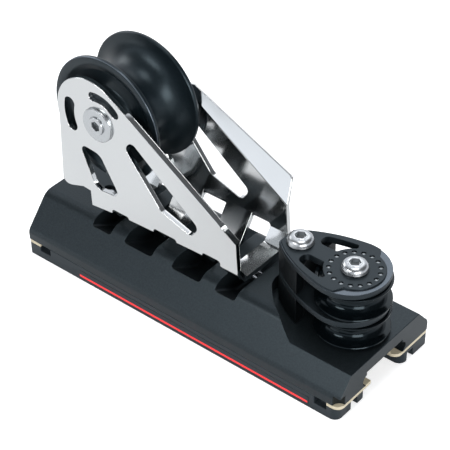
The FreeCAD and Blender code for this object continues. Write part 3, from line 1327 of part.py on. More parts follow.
def control_sheave(label, low):
    half = "(Sizes.control_width / 2)"
    track_in = "(Sizes.bead_ring - Sizes.bead_round - Sizes.running_gap)"
    track_out = "(Sizes.bead_ring + Sizes.bead_round + Sizes.running_gap)"
    deep = "(Sizes.bead_round - Sizes.bead_lift - Sizes.control_gap + Sizes.running_gap)"
    lower = [
        ("Sizes.sleeve_round + Sizes.running_fit", "-" + half),
        ("Sizes.control_dish_in", "-" + half),
        ("Sizes.control_dish_in", "-%s + Sizes.control_dish_depth" % half),
        ("Sizes.control_dish_out", "-%s + Sizes.control_dish_depth" % half),
        ("Sizes.control_dish_out", "-" + half),
        ("Sizes.control_round", "-" + half),
    ]
    upper = [
        ("Sizes.control_round", half),
        ("Sizes.control_dish_out", half),
        ("Sizes.control_dish_out", "%s - Sizes.control_dish_depth" % half),
        ("Sizes.control_dish_in", "%s - Sizes.control_dish_depth" % half),
        ("Sizes.control_dish_in", half),
        (track_out, half),
        (track_out, "%s - %s" % (half, deep)),
        (track_in, "%s - %s" % (half, deep)),
        (track_in, half),
        ("Sizes.sleeve_round + Sizes.running_fit", half),
    ]
    blank = turned(label + "_blank", lower + upper, x="Sizes.block_x", z="%s + %s" % (low, half))
    groove = tool("Torus", label + "_groove", x="Sizes.block_x", z="%s + %s" % (low, half),
                  Radius1="Sizes.control_round - Sizes.control_groove_depth + Sizes.control_groove_round",
                  Radius2="Sizes.control_groove_round")
    node(cut(label, blank, groove), label)


def control_beads():
    bead = Part.makeSphere(size("bead_round"))
    count = int(size("bead_count"))
    height = number(sheet, TOP_LOW + " + Sizes.bead_lift")
    shapes = []
    for index in range(count):
        turn = 2 * math.pi * index / count
        copy = bead.copy()
        copy.translate(Vector(size("block_x") + size("bead_ring") * math.cos(turn),
                              size("bead_ring") * math.sin(turn), height))
        shapes.append(copy)
    solid_feature("control_balls", Part.makeCompound(shapes))


def centre_sleeve():
    length = "%s - (%s)" % (TOP_LOW, BASE_TOP)
    node(turned("centre_sleeve", ring_profile("Sizes.bolt_round + Sizes.fit", "Sizes.sleeve_round",
                                              "0", length), x="Sizes.block_x", z=BASE_TOP),
         "centre_sleeve")


def button_bolt(label, place):
    """A button head bolt from the top plate down into the car body."""
    start = "Sizes.deck_height - Sizes.bolt_depth"
    seat = "(%s - (%s))" % (TOP_FACE, start)
    blank = turned(label + "_blank", [
        ("0", "0"),
        ("Sizes.bolt_round - Sizes.end_edge", "0"),
        ("Sizes.bolt_round", "Sizes.end_edge"),
        ("Sizes.bolt_round", seat),
        ("Sizes.bolt_head_round", seat),
        ("Sizes.bolt_head_round", seat + " + Sizes.end_edge", "Sizes.bolt_head_round * 1.02"),
        ("Sizes.bolt_head_round * 0.5", seat + " + Sizes.bolt_head_height"),
        ("0", seat + " + Sizes.bolt_head_height"),
    ], x=place, z=start)
    socket = hexagon(label + "_socket", "Sizes.bolt_socket", "Sizes.bolt_head_height", UPRIGHT, x=place,
                     z=TOP_FACE + " + Sizes.bolt_head_height / 3")
    node(cut(label, blank, socket), label)


car_body()
for side, word in SIDES:
    guide_plate(side, word)
    rail(side, word)
    stripe(side, word)
    track_balls(side, word)
rail_screws()
hinge_pin()
pin_lock_screw()
sheave_frame()
main_sheave()
main_bearing()
axle_parts()
base_washer()
post_spacer("lower_spacer", "Sizes.deck_height", MIDDLE_LOW)
control_sheave("lower_control_sheave", LOWER_SHEAVE)
middle_plate()
post_spacer("upper_spacer", MIDDLE_TOP, TOP_LOW)
control_sheave("upper_control_sheave", UPPER_SHEAVE)
control_beads()
top_plate()
centre_sleeve()
button_bolt("centre_bolt", "Sizes.block_x")
button_bolt("post_bolt", "Sizes.post_x")

DOC.recompute()
for obj in DOC.Objects:
    if "Invalid" in obj.State or "Error" in obj.State:
        raise RuntimeError("%s failed: %s" % (obj.Name, obj.State))
for sub_part in NODES:
    shape = sub_part.Shape
    if shape.isNull() or not shape.isValid() or not shape.Solids:
        raise RuntimeError("%s has no valid solid" % sub_part.Label)
    print(sub_part.Label, len(shape.Solids), round(shape.Volume, 1))

os.makedirs("parts", exist_ok=True)
for sub_part in NODES:
    sub_part.Shape.exportStep("parts/%s.step" % sub_part.Label)
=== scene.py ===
# %% [markdown]
# A lead car for a jib track, dressed for its portrait. The machined car body runs on captive balls,
# the polished frame rocks on a lengthwise pin and carries the main sheave, and the double block at the
# front leads the control lines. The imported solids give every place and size, so this first step loads
# them, and each later step gives one group of parts its finish and its fine shape.

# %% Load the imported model
import json
import math
import bmesh
import bpy
from mathutils import Matrix, Vector


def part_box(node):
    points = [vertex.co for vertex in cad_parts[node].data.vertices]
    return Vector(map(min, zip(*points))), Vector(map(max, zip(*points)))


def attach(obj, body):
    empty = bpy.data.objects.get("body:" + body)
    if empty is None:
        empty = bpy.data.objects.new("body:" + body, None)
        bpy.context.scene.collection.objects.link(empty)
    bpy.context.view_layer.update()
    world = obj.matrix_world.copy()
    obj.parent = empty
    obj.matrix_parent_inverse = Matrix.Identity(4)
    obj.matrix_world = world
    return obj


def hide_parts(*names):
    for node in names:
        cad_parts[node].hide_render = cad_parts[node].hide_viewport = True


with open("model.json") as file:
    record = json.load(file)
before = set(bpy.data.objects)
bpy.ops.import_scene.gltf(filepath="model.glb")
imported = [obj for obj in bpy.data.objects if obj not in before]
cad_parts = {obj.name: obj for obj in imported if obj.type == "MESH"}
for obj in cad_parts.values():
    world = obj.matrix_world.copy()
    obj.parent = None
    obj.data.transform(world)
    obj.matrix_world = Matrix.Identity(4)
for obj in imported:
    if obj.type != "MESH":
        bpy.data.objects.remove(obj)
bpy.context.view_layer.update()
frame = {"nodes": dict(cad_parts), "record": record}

NODES = frame["nodes"]
MM = 0.001
print("nodes:", len(NODES))

# %% [markdown]
# A photograph of a small part on a table is taken with a long lens, so its edges stay almost parallel.
# The camera here stands three quarters of a metre away, forty degrees round from the side and a little
# less than that above it, and it leans by under a degree, as a hand-held product shot does. It could be
# aimed by a constraint, but a matrix that is written out holds the lean as well.

# %% Camera
AIM = Vector((0.01273, -0.01164, 0.05904))
AWAY = 0.7675
ROUND = math.radians(40.095)
UP = math.radians(38.192)
LEAN = math.radians(-0.730)
SENSOR_MM = 36.0
FOCAL_PIXELS = 1616.2
FRAME_PIXELS = 450.0
NEAREST = 0.05

camera_data = bpy.data.cameras.new("portrait_lens")
camera_data.sensor_width = SENSOR_MM
camera_data.lens = SENSOR_MM * FOCAL_PIXELS / FRAME_PIXELS
camera_data.clip_start = NEAREST
camera = bpy.data.objects.new("portrait_camera", camera_data)
bpy.context.scene.collection.objects.link(camera)
towards = Vector((math.cos(UP) * math.sin(ROUND), -math.cos(UP) * math.cos(ROUND), math.sin(UP)))
right = (-towards).cross(Vector((0, 0, 1))).normalized()
above = right.cross(-towards)
lean_right = right * math.cos(LEAN) + above * math.sin(LEAN)
lean_above = above * math.cos(LEAN) - right * math.sin(LEAN)
camera.matrix_world = Matrix((
    (lean_right.x, lean_above.x, towards.x, AIM.x + AWAY * towards.x),
    (lean_right.y, lean_above.y, towards.y, AIM.y + AWAY * towards.y),
    (lean_right.z, lean_above.z, towards.z, AIM.z + AWAY * towards.z),
    (0, 0, 0, 1),
))
bpy.context.scene.camera = camera
print("lens:", round(camera_data.lens, 1), "mm")

# %% [markdown]
# Every finish is built from shader nodes. Colours are written as on a paint chart and turned to linear
# light by one function, because a shader's sockets take linear values. Each node could be added and
# wired in three or four lines, so one more small function does that, whatever kind of node it is.

# %% Colours and nodes
def linear(code):
    """The linear colour of an sRGB hex code."""
    values = []
    for place in (0, 2, 4):
        part = int(code[place:place + 2], 16) / 255
        values.append(part / 12.92 if part <= 0.04045 else ((part + 0.055) / 1.055) ** 2.4)
    return (*values, 1.0)


def add(tree, kind, links=(), **settings):
    """Adds a node. Settings are properties or, failing that, inputs; links are (input, output) pairs."""
    made = tree.nodes.new(kind)
    for key, value in settings.items():
        if hasattr(made, key):
            setattr(made, key, value)
        else:
            made.inputs[key.replace("_", " ")].default_value = value
    for socket, source in links:
        tree.links.new(source, made.inputs[socket])
    return made


def finish(name):
    """A new material with its tree and its shader."""
    material = bpy.data.materials.new(name)
    material.use_nodes = True
    tree = material.node_tree
    shader = next(item for item in tree.nodes if item.type == "BSDF_PRINCIPLED")
    return material, tree, shader


print("middle grey in linear light:", round(linear("808080")[0], 3))

# %% [markdown]
# No real surface is the same all over: its colour, its shine and its height vary a little, and they
# vary together, because one grain or one wave causes all three. Three textures could do this, but then
# a pale grain might lie in a hollow, so one noise drives the colour, the roughness and the bump.

# %% Colour, shine and height from one noise
def uneven_finish(name, patch_mm, shine, relief, stops=(), **settings):
    """A material that varies with one noise, whose patches have a size in mm. The shine is the two ends
    of the roughness, the relief is a strength and a depth in mm, and each stop is a place in the noise
    and a colour."""
    material, tree, shader = finish(name)
    place = add(tree, "ShaderNodeTexCoord").outputs["Object"]
    noise = add(tree, "ShaderNodeTexNoise", [("Vector", place)], Scale=1 / (patch_mm * MM), **settings)
    pattern = noise.outputs["Fac"]
    rough = add(tree, "ShaderNodeMapRange", [("Value", pattern)], To_Min=shine[0], To_Max=shine[1])
    tree.links.new(rough.outputs["Result"], shader.inputs["Roughness"])
    bump = add(tree, "ShaderNodeBump", [("Height", pattern)], Strength=relief[0],
               Distance=relief[1] * MM)
    tree.links.new(bump.outputs["Normal"], shader.inputs["Normal"])
    if stops:
        ramp = add(tree, "ShaderNodeValToRGB", [("Fac", pattern)])
        for element, (position, code) in zip(ramp.color_ramp.elements, stops):
            element.position = position
            element.color = linear(code)
        tree.links.new(ramp.outputs["Color"], shader.inputs["Base Color"])
    return material, shader


# %% [markdown]
# The body is extruded aluminium, machined and then black anodised, and so are the plates and spacers.
# The dye leaves a dark grey metal with a fine sandy grain, and it looks paler where light falls on it
# at a low angle. A black plastic would be simpler, but metal shines through the coat, so the shader is
# three quarters metal. Real anodising has a grain of a few hundredths of a millimetre, and here it is
# drawn coarser so that it shows. The spacers are drawn darker than the plates, as painted shade between
# the plates. Where a rim was machined again the coat is smoother, and its paler colour is a painted
# highlight for the light that the bright rim reflects.

# %% Anodised aluminium
DYED_METAL = 0.75


def anodised(name, colour, pale, roughness, grain_mm, depth_mm):
    """Metal under a dyed coat. The grain has a size and a depth in mm."""
    material, shader = uneven_finish(name, grain_mm, shine=(roughness - 0.05, roughness + 0.07),
                                     relief=(0.5, depth_mm), stops=((0.3, colour), (0.75, pale)),
                                     Detail=4.0, Roughness=0.7)
    shader.inputs["Metallic"].default_value = DYED_METAL
    return material


body_finish = anodised("black_anodised_extrusion", "22292d", "2f373b", 0.36, 0.8, 0.016)
plate_finish = anodised("black_anodised_plate", "20272b", "2a3237", 0.34, 0.6, 0.01)
# The spacers' darker colour is painted shade, standing in for the shade between the plates.
spacer_painted_shade_finish = anodised("black_anodised_spacer_painted_shade", "0c1114", "14191c", 0.38, 0.6, 0.01)
# The rim's paler colour is a painted highlight for the light that the machined rim reflects.
rim_highlight_finish = anodised("rim_painted_highlight", "4a525a", "5a626a", 0.24, 0.6, 0.004)
print("anodised:", body_finish.name, plate_finish.name, spacer_painted_shade_finish.name, rim_highlight_finish.name)

# %% [markdown]
# The frame, the bushes and the bolts are stainless steel. The frame is ground and mirror polished, so
# the eye gets almost only reflections. A plain mirror would do, but on flat cheeks it looks too clean,
# so it is softened by the faint waves that the polishing wheel leaves in a sheet. The bushes, the heads
# and the pins are turned, which scatters the light a little more and leaves no waves.

# %% Polished stainless steel
WAVE_LENGTH_MM = 11


def polished(name, colour, roughness, wave_mm=0.0):
    """Bare steel. A polished sheet has waves of a depth in mm."""
    material, shader = uneven_finish(name, WAVE_LENGTH_MM, shine=(roughness * 0.8, roughness * 1.2),
                                     relief=(0.3, wave_mm), Detail=1.0)
    shader.inputs["Base Color"].default_value = linear(colour)
    shader.inputs["Metallic"].default_value = 1.0
    return material


frame_finish = polished("polished_stainless_sheet", "cacccc", 0.1, wave_mm=0.08)
head_finish = polished("polished_stainless_heads", "b6b9bb", 0.27)
steel_finish = polished("turned_stainless_steel", "c4c7ca", 0.2)
print("polished:", frame_finish.name, head_finish.name, steel_finish.name)

# %% [markdown]
# The control sheaves are turned from black acetal, a hard slippery plastic with a wet gloss, and the
# rails are moulded nylon with a matt face. The main sheave is aluminium, but its hard anodised coat is
# so thick and dark that it shows no metal, only a dull shine at the rims, so it is drawn the same way.
# The guides are beige acetal, the stripe is red vinyl, and the balls are pale acetal in the block and a
# dark, harder plastic under the body. All of these are a colour under a clear shine, so one function
# makes them from a colour, a shine and a fine mottle. On black parts the shine is a little blue, which
# is how daylight lamps look in them.

# %% Plastics and thick coats
DAYLIGHT = "b4c8d2"


def plastic(name, colour, pale, roughness, mottle_mm, tint="ffffff", shine=0.5):
    """A plastic or a thick coat, whose mottle has a size in mm."""
    material, shader = uneven_finish(name, mottle_mm, shine=(roughness - 0.04, roughness + 0.04),
                                     relief=(0.2, 0.008), stops=((0.3, colour), (0.7, pale)),
                                     Detail=3.0)
    shader.inputs["Specular IOR Level"].default_value = shine
    shader.inputs["Specular Tint"].default_value = linear(tint)
    return material


sheave_finish = plastic("hard_anodised_sheave", "0b1216", "11181c", 0.34, 1.2, DAYLIGHT)
control_finish = plastic("glossy_black_acetal", "04080a", "070b0e", 0.14, 1.0, DAYLIGHT, shine=0.3)
rail_finish = plastic("moulded_black_nylon", "181c20", "22272b", 0.42, 0.5, DAYLIGHT)
guide_finish = plastic("beige_acetal", "b8ae94", "c4baa2", 0.42, 0.8)
stripe_finish = plastic("red_vinyl", "fb2a2e", "ff3034", 0.5, 1.0)
# The flange finish's pale colour is a painted highlight on the black sheave's track ring.
flange_highlight_finish = plastic("acetal_flange_painted_highlight", "b4bbc0", "c2c8cc", 0.4, 0.6)
pale_ball_finish = plastic("pale_acetal_balls", "a3abb0", "aeb6bb", 0.3, 0.6)
dark_ball_finish = plastic("dark_polyamide_imide_balls", "3a342c", "484137", 0.3, 0.6)
print("plastics and coats:", sheave_finish.name, control_finish.name, rail_finish.name)

# %% [markdown]
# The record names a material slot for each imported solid, and each slot has one finish, so the solids
# get theirs in one loop instead of one by one. Small plain pieces, such as the stripes, the nut and the
# pins, need nothing more and stay as they are.

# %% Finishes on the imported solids
SLOT_FINISH = {
    "body": body_finish, "plate": plate_finish, "polished": frame_finish, "steel": steel_finish,
    "sheave": sheave_finish, "control_sheave": control_finish, "rail": rail_finish,
    "guide": guide_finish, "stripe": stripe_finish, "pale_balls": pale_ball_finish,
    "balls": dark_ball_finish,
}
SLOT_OF = {entry["node"]: entry["material_slot"] for entry in frame["record"]["subparts"]}
BODY_OF = {
    node: body for body, nodes in frame["record"]["behaviour"]["bodies"].items() for node in nodes
}
for node, slot in SLOT_OF.items():
    mesh = NODES[node].data
    mesh.materials.clear()
    mesh.materials.append(SLOT_FINISH[slot])
print("finishes:", len(set(SLOT_FINISH.values())))

# %% [markdown]
# A imported solid is exact but plain, with knife edges and flat facets. It could be reshaped itself, but
# it is the measure of everything else, so it is left alone and a finer piece stands in for it. That
# piece takes over the finish of the solid's slot and the body that it moves with, and the solid is
# hidden.

# %% Pieces that stand in for solids
def alone(piece):
    """Selects one object and makes it the active one."""
    bpy.ops.object.select_all(action="DESELECT")
    piece.select_set(True)
    bpy.context.view_layer.objects.active = piece


def settle(piece, node, material=None):
    """Gives a finished piece its finish, its body and a name after the node that it stands for, and
    hides the node.
    """
    piece.name = node + "_finished"
    piece.data.name = piece.name
    piece.data.materials.clear()
    piece.data.materials.append(material or SLOT_FINISH[SLOT_OF[node]])
    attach(piece, BODY_OF[node])
    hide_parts(node)


# %% [markdown]
# No machined or folded part has knife edges: each was broken with a file, a tumbler or a polishing
# wheel, and those narrow rounds carry the bright lines that make metal look like metal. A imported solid
# is loose triangles, so a copy is merged and its flat faces are joined, and then a bevel rounds every
# outer edge that turns sharply. A bevel modifier could do that by angle alone, but an edge that is
# picked in code can be left out by its place too. Facets of curves turn too little to be touched.

# %% Rounding a copy's edges
MERGE_MM = 0.002
FLAT_DEGREES = 0.4
SHARP_DEGREES = 28
SMOOTH_DEGREES = 35


def merged_copy(node):
    """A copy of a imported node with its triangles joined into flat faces."""
    piece = bpy.data.objects.new(node + "_copy", NODES[node].data.copy())
    bpy.context.scene.collection.objects.link(piece)
    alone(piece)
    bpy.ops.object.mode_set(mode="EDIT")
    bpy.ops.mesh.select_all(action="SELECT")
    bpy.ops.mesh.remove_doubles(threshold=MERGE_MM * MM)
    bpy.ops.mesh.dissolve_limited(angle_limit=math.radians(FLAT_DEGREES))
    bpy.ops.object.mode_set(mode="OBJECT")
    return piece


def bevel_edges(piece, width_mm, steps, wanted):
    """Bevels the edges that are wanted, and returns how many they are."""
    alone(piece)
    bpy.ops.object.mode_set(mode="EDIT")
    bpy.ops.mesh.select_mode(type="EDGE")
    bpy.ops.mesh.select_all(action="DESELECT")
    mesh = bmesh.from_edit_mesh(piece.data)
    picked = [edge for edge in mesh.edges if wanted(edge)]
    for edge in picked:
        edge.select = True
    count = len(picked)
    bmesh.update_edit_mesh(piece.data)
    bpy.ops.mesh.bevel(offset=width_mm * MM, segments=steps, profile=0.5, clamp_overlap=False)
    bpy.ops.object.mode_set(mode="OBJECT")
    return count


def sharp_edge(edge):
    """An outer edge that a file would round."""
    return edge.is_convex and edge.calc_face_angle(0) > math.radians(SHARP_DEGREES)


def even_shading(piece):
    """Smooth rounds between flat faces: each normal leans to the larger face beside it."""
    alone(piece)
    bpy.ops.object.shade_smooth_by_angle(angle=math.radians(SMOOTH_DEGREES))
    weigh = piece.modifiers.new("weigh", "WEIGHTED_NORMAL")
    weigh.keep_sharp = True
    weigh.weight = 100
    bpy.ops.object.modifier_apply(modifier="weigh")


# %% [markdown]
# The body, the plates, the spacers, the guides and the deck washer differ only in how far their edges
# were broken, so one loop rounds them all. The slots that the frame's straps lie in were cut with a
# ball cutter, which leaves a round corner between wall and floor. Drawing those corners again would be
# slow work, so the body's inner corners are bevelled too, wider and in more steps.

# %% Body, plates, spacers, guides and washer
CORNER_DEGREES = 60
CORNER_ROUND_MM = 2.0
SAME_PLACE = 0.01
SLOTS_BACK = -66
SLOTS_FRONT = 30
SLOTS_LOW = 18
ROUNDS_MM = {
    "car_body": 0.3, "middle_plate": 0.3, "top_plate": 0.25, "lower_spacer": 0.25,
    "upper_spacer": 0.25, "ball_guide_left": 0.2, "ball_guide_right": 0.2, "base_washer": 0.2,
}


def slot_corner(edge):
    """An inner corner that runs across the body, where a slot's wall meets its floor."""
    first, last = (vert.co / MM for vert in edge.verts)
    across = abs(first.x - last.x) < SAME_PLACE
    in_slots = min(first.z, last.z) > SLOTS_LOW and SLOTS_BACK < first.x < SLOTS_FRONT
    inner = not edge.is_convex and edge.calc_face_angle(0) > math.radians(CORNER_DEGREES)
    return across and in_slots and inner


for node, width in ROUNDS_MM.items():
    piece = merged_copy(node)
    if node == "car_body":
        print("slot corners:", bevel_edges(piece, CORNER_ROUND_MM, 4, slot_corner))
    bevel_edges(piece, width, 2, sharp_edge)
    even_shading(piece)
    # The spacers take the darker finish, which is painted shade between the plates.
    settle(piece, node, spacer_painted_shade_finish if node.endswith("spacer") else None)
    print(node, "faces:", len(piece.data.polygons))

# %% [markdown]
# The top plate's raised face is blasted dull, and the lower rim round its end is left as it was turned,
# so it shines. The rim could be a piece of its own, but it is cut from the same plate, so its faces
# only get a second finish, smoother and paler, and the paler colour is a painted highlight. The faces
# that get it are the ones that look up just under the raised face.

# %% Painted highlight on the top plate's rim
LEVEL = 0.9


def second_finish(piece, material, faces):
    """Gives some of a piece's faces another finish."""
    piece.data.materials.append(material)
    for face in faces:
        face.material_index = 1
    print(piece.name, "faces of", material.name + ":", len(faces))


top_plate = bpy.data.objects["top_plate_finished"]
face_height = max(vert.co.z for vert in top_plate.data.vertices)
rim_high = face_height - 0.5 * MM
rim_low = face_height - 1.5 * MM
second_finish(top_plate, rim_highlight_finish, [
    face for face in top_plate.data.polygons
    if face.normal.z > LEVEL and rim_low < face.center.z < rim_high
])

# %% [markdown]
# The stripe's groove and the fine seam over it are too small for the rails' rounding, so the edges on
# that part of a rail's side stay as they are. The frame's sheet is thicker and is polished round, but
# not at its feet, where straps and bands are welded to the cheeks. A bevel over those short edges would
# tangle, so they are left out by their place.

# %% Rails and frame
RAIL_SIDE = 34
STRIPE_LOW = 1
SEAM_HIGH = 6.8
STRIPE_BACK = -66
STRIPE_FRONT = 83
CHEEKS_LOW = 45.5
CHEEKS_INSIDE = 15


def edge_middle(edge):
    """The middle of an edge, in mm."""
    return (edge.verts[0].co + edge.verts[1].co) / (2 * MM)


def rail_edge(edge):
    """A sharp edge that isn't beside the stripe and the seam on a rail's side."""
    place = edge_middle(edge)
    along = STRIPE_BACK < place.x < STRIPE_FRONT
    by_the_stripe = abs(place.y) >= RAIL_SIDE and STRIPE_LOW < place.z < SEAM_HIGH and along
    return sharp_edge(edge) and not by_the_stripe


def frame_edge(edge):
    """A sharp edge above the cheeks' lower edge, or inside them."""
    place = edge_middle(edge)
    return sharp_edge(edge) and (place.z > CHEEKS_LOW or abs(place.y) < CHEEKS_INSIDE)


for node, width, wanted in (("rail_left", 0.3, rail_edge), ("rail_right", 0.3, rail_edge),
                            ("sheave_frame", 0.35, frame_edge)):
    piece = merged_copy(node)
    bevel_edges(piece, width, 3, wanted)
    even_shading(piece)
    settle(piece, node)
    print(node, "faces:", len(piece.data.polygons))

# %% [markdown]
# Sheaves, bushes and bolt heads are turned on a lathe, so a finished one has nothing but rings. An
# outline could be spun round the axis, but then no socket could be sunk on the way. So a circle is
# extruded ring by ring along the axis and scaled to each radius, as a lathe tool moves along the work.
# Where a socket is cut, the ring is pressed to a hexagon before it goes on down.

# %% A lathe of extruded rings
LATHE_SMOOTH_DEGREES = 32


def pressed_hexagon(half):
    """Moves the selected ring's points out or in to a hexagon of this half width."""
    mesh = bmesh.from_edit_mesh(bpy.context.object.data)
    for vert in mesh.verts:
        if vert.select:
            turn = math.atan2(vert.co.y, vert.co.x)
            reach = half / math.cos((turn + math.pi / 6) % (math.pi / 3) - math.pi / 6)
            vert.co.x = reach * math.cos(turn)
            vert.co.y = reach * math.sin(turn)
    bmesh.update_edit_mesh(bpy.context.object.data)


def lathe(name, rings, capped=False, sides=96):
    """Turns a piece from rings of radius and height in mm. A third value makes a ring a hexagon of
    that half width. A piece that isn't capped closes on itself, from the last ring to the first."""
    bpy.ops.object.select_all(action="DESELECT")
    radius, height = rings[0][:2]
    bpy.ops.mesh.primitive_circle_add(vertices=sides, radius=radius * MM, location=(0, 0, 0),
                                      fill_type="NGON" if capped else "NOTHING")
    piece = bpy.context.object
    piece.name = name
    bpy.ops.object.mode_set(mode="EDIT")
    bpy.ops.mesh.select_mode(type="VERT")
    bpy.ops.mesh.select_all(action="SELECT")
    bpy.ops.transform.translate(value=(0, 0, height * MM))
    for ring in rings[1:]:
        wide, high = ring[:2]
        step = (0, 0, (high - height) * MM)
        bpy.ops.mesh.extrude_region_move(TRANSFORM_OT_translate={"value": step})
        if len(ring) == 3:
            pressed_hexagon(ring[2] * MM)
        else:
            scale = wide / radius
            bpy.ops.transform.resize(value=(scale, scale, 1), center_override=(0, 0, 0))
        radius, height = wide, high
    if not capped:
        bpy.ops.mesh.select_all(action="DESELECT")
        bpy.ops.mesh.select_non_manifold()
        bpy.ops.mesh.bridge_edge_loops()
    bpy.ops.mesh.select_all(action="SELECT")
    bpy.ops.mesh.normals_make_consistent(inside=False)
    bpy.ops.object.mode_set(mode="OBJECT")
    bpy.ops.object.shade_smooth_by_angle(angle=math.radians(LATHE_SMOOTH_DEGREES))
    return piece


# %% Places of turned pieces
def lay(piece, centre, tilt=0.0):
    """Turns a piece about X, moves it to its place in mm, and puts both into its mesh."""
    alone(piece)
    piece.rotation_euler = (math.radians(tilt), 0, 0)
    piece.location = Vector(centre) * MM
    bpy.ops.object.transform_apply(location=True, rotation=True, scale=True)


def middle(node):
    """The middle of a node's box, in mm."""
    low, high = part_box(node)
    return (Vector(low) + Vector(high)) / (2 * MM)


def span(node, axis):
    """A node's size along an axis, in mm."""
    low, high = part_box(node)
    return (high[axis] - low[axis]) / MM


print("main sheave:", [round(span("main_sheave", axis), 2) for axis in range(3)], "mm")

# %% [markdown]
# The main sheave has a deep round groove for the sheet, thin flanges with a flat rim whose two corners
# are rounded, and a shallow dish in each side round the hub. The rings follow the imported sheave's
# width and radius, so the finished one sits between the cheeks as the solid does. The groove's rings
# could be a long list, but it is an arc, so they are worked out. The rims' outer corners get the pale
# rim finish, a painted highlight that draws a thin pale line round each flange.

# %% Main sheave
def groove(centre_radius, radius, reach, steps, half_turn):
    """Rings round the bottom of a line groove, from one flank to the other."""
    turns = [math.radians(half_turn) * (2 * step / steps - 1) for step in range(steps + 1)]
    return [(centre_radius - radius * math.cos(turn), reach * math.sin(turn)) for turn in turns]


def mirrored(rings):
    """The same rings on the other side of the wheel."""
    return [(radius, -height) for radius, height in rings]


wheel = span("main_sheave", 2) / 2
half = span("main_sheave", 1) / 2
side_rings = [(13.5, half), (16.6, half), (17.0, half - 0.3), (17.5, half - 1.5), (18.2, half - 2.1),
              (19.0, half - 2.2), (25.6, half - 2.2), (26.6, half - 2.0), (28.6, half - 0.6),
              (29.6, half - 0.1), (30.4, half), (wheel - 0.4, half), (wheel - 0.15, half - 0.1),
              (wheel, half - 0.35), (wheel, half - 1.55), (wheel - 0.12, half - 1.8)]
bottom = groove(centre_radius=wheel + 0.4, radius=13.2, reach=13.1, steps=28, half_turn=86)
main_sheave = lathe("main_sheave_turned", mirrored(side_rings) + bottom + side_rings[::-1], sides=128)
lay(main_sheave, middle("main_sheave"), tilt=90)
settle(main_sheave, "main_sheave")
hub = middle("main_sheave") * MM
highlight_radius = (wheel - 0.3) * MM
highlight_height = (half - 0.4) * MM
# Painted highlight: the rims' outer corners get the paler rim finish.
second_finish(main_sheave, rim_highlight_finish, [
    face for face in main_sheave.data.polygons
    if (face.center.xz - hub.xz).length > highlight_radius and abs(face.center.y - hub.y) > highlight_height
])
print("main sheave faces:", len(main_sheave.data.polygons))

# %% [markdown]
# A control sheave is the same idea at half the size. Its groove opens out to the rims in one smooth
# sweep, and a narrow dish runs round inside each rim. The balls run in a track in its top face, and the
# level ring inside the track is dull, with a pale colour that is a painted highlight on the black
# sheave. The two sheaves are the same, so a loop makes both.

# %% Control sheaves
TRACK_RADIUS = 14
for node in ("lower_control_sheave", "upper_control_sheave"):
    rim = span(node, 0) / 2
    half = span(node, 2) / 2
    side_rings = [(14.9, half), (15.0, half - 0.3), (15.1, half - 0.7), (16.2, half - 0.7),
                  (16.5, half - 0.4), (16.8, half), (rim - 0.25, half), (rim - 0.05, half - 0.1),
                  (rim, half - 0.35), (rim, half - 0.75), (rim - 0.2, half - 1.05)]
    bore = [(6.5, 0.3 - half), (6.8, -half)]
    bottom = groove(centre_radius=16.9, radius=5.1, reach=5.2, steps=24, half_turn=82)
    track = [(14.4, half), (14.3, half - 0.6), (9.9, half - 0.6), (9.8, half), (6.8, half),
             (6.5, half - 0.3)]
    rings = bore + mirrored(side_rings) + bottom + side_rings[::-1] + track
    piece = lathe(node + "_turned", rings, sides=112)
    lay(piece, middle(node))
    settle(piece, node)
    axis = middle(node) * MM
    top = axis.z + (half - 0.1) * MM
    # Painted highlight: the level ring inside the track gets the pale flange finish.
    second_finish(piece, flange_highlight_finish, [
        face for face in piece.data.polygons if face.normal.z > LEVEL and face.center.z > top
        and (face.center.xy - axis.xy).length < TRACK_RADIUS * MM
    ])
    print(node, "faces:", len(piece.data.polygons))

# %% [markdown]
# The block is held by two button-head bolts. Each head is a low dome with a small flat round the
# hexagon socket, and its shank goes down through the plates into the body. The dome follows a quarter
# of an ellipse, so a loop works out its rings. The socket could be cut with a boolean, but the lathe
# goes on down into it, which leaves clean rings of faces.

# %% Button-head bolts
HEAD = 6.7
HEAD_HEIGHT = 4.0
HEXAGON = 2.5
DOME_WIDE = 3.1
DOME_TALL = 2.9
for node in ("centre_bolt", "post_bolt"):
    low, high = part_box(node)
    foot = low[2] / MM
    seat = high[2] / MM - HEAD_HEIGHT
    rings = [(3.5, foot), (4.0, foot + 0.5), (4.0, seat), (HEAD - 0.3, seat), (HEAD, seat + 0.25),
             (HEAD, seat + 0.7)]
    for turn in map(math.radians, range(0, 91, 9)):
        inwards = DOME_WIDE * (math.cos(turn) - 1)
        rings.append((HEAD - 0.12 + inwards, seat + 0.9 + DOME_TALL * math.sin(turn)))
    rings += [(3.35, seat + HEAD_HEIGHT), (HEXAGON, seat + HEAD_HEIGHT, HEXAGON + 0.15),
              (HEXAGON, seat + HEAD_HEIGHT - 0.25, HEXAGON), (HEXAGON, seat + 1.5, HEXAGON)]
    piece = lathe(node + "_turned", rings, capped=True)
    place = middle(node)
    lay(piece, (place.x, place.y, 0))
    settle(piece, node, head_finish)
    print(node, "faces:", len(piece.data.polygons))

# %% [markdown]
# On the axle, each cheek holds a polished bush with a rounded rim, and the axle bolt's head lies half
# sunk in the near one, with a hexagon socket. The far bush could be a mirrored copy, but a mirror turns
# a mesh inside out, so each bush is turned by itself and tilted outwards along Y.

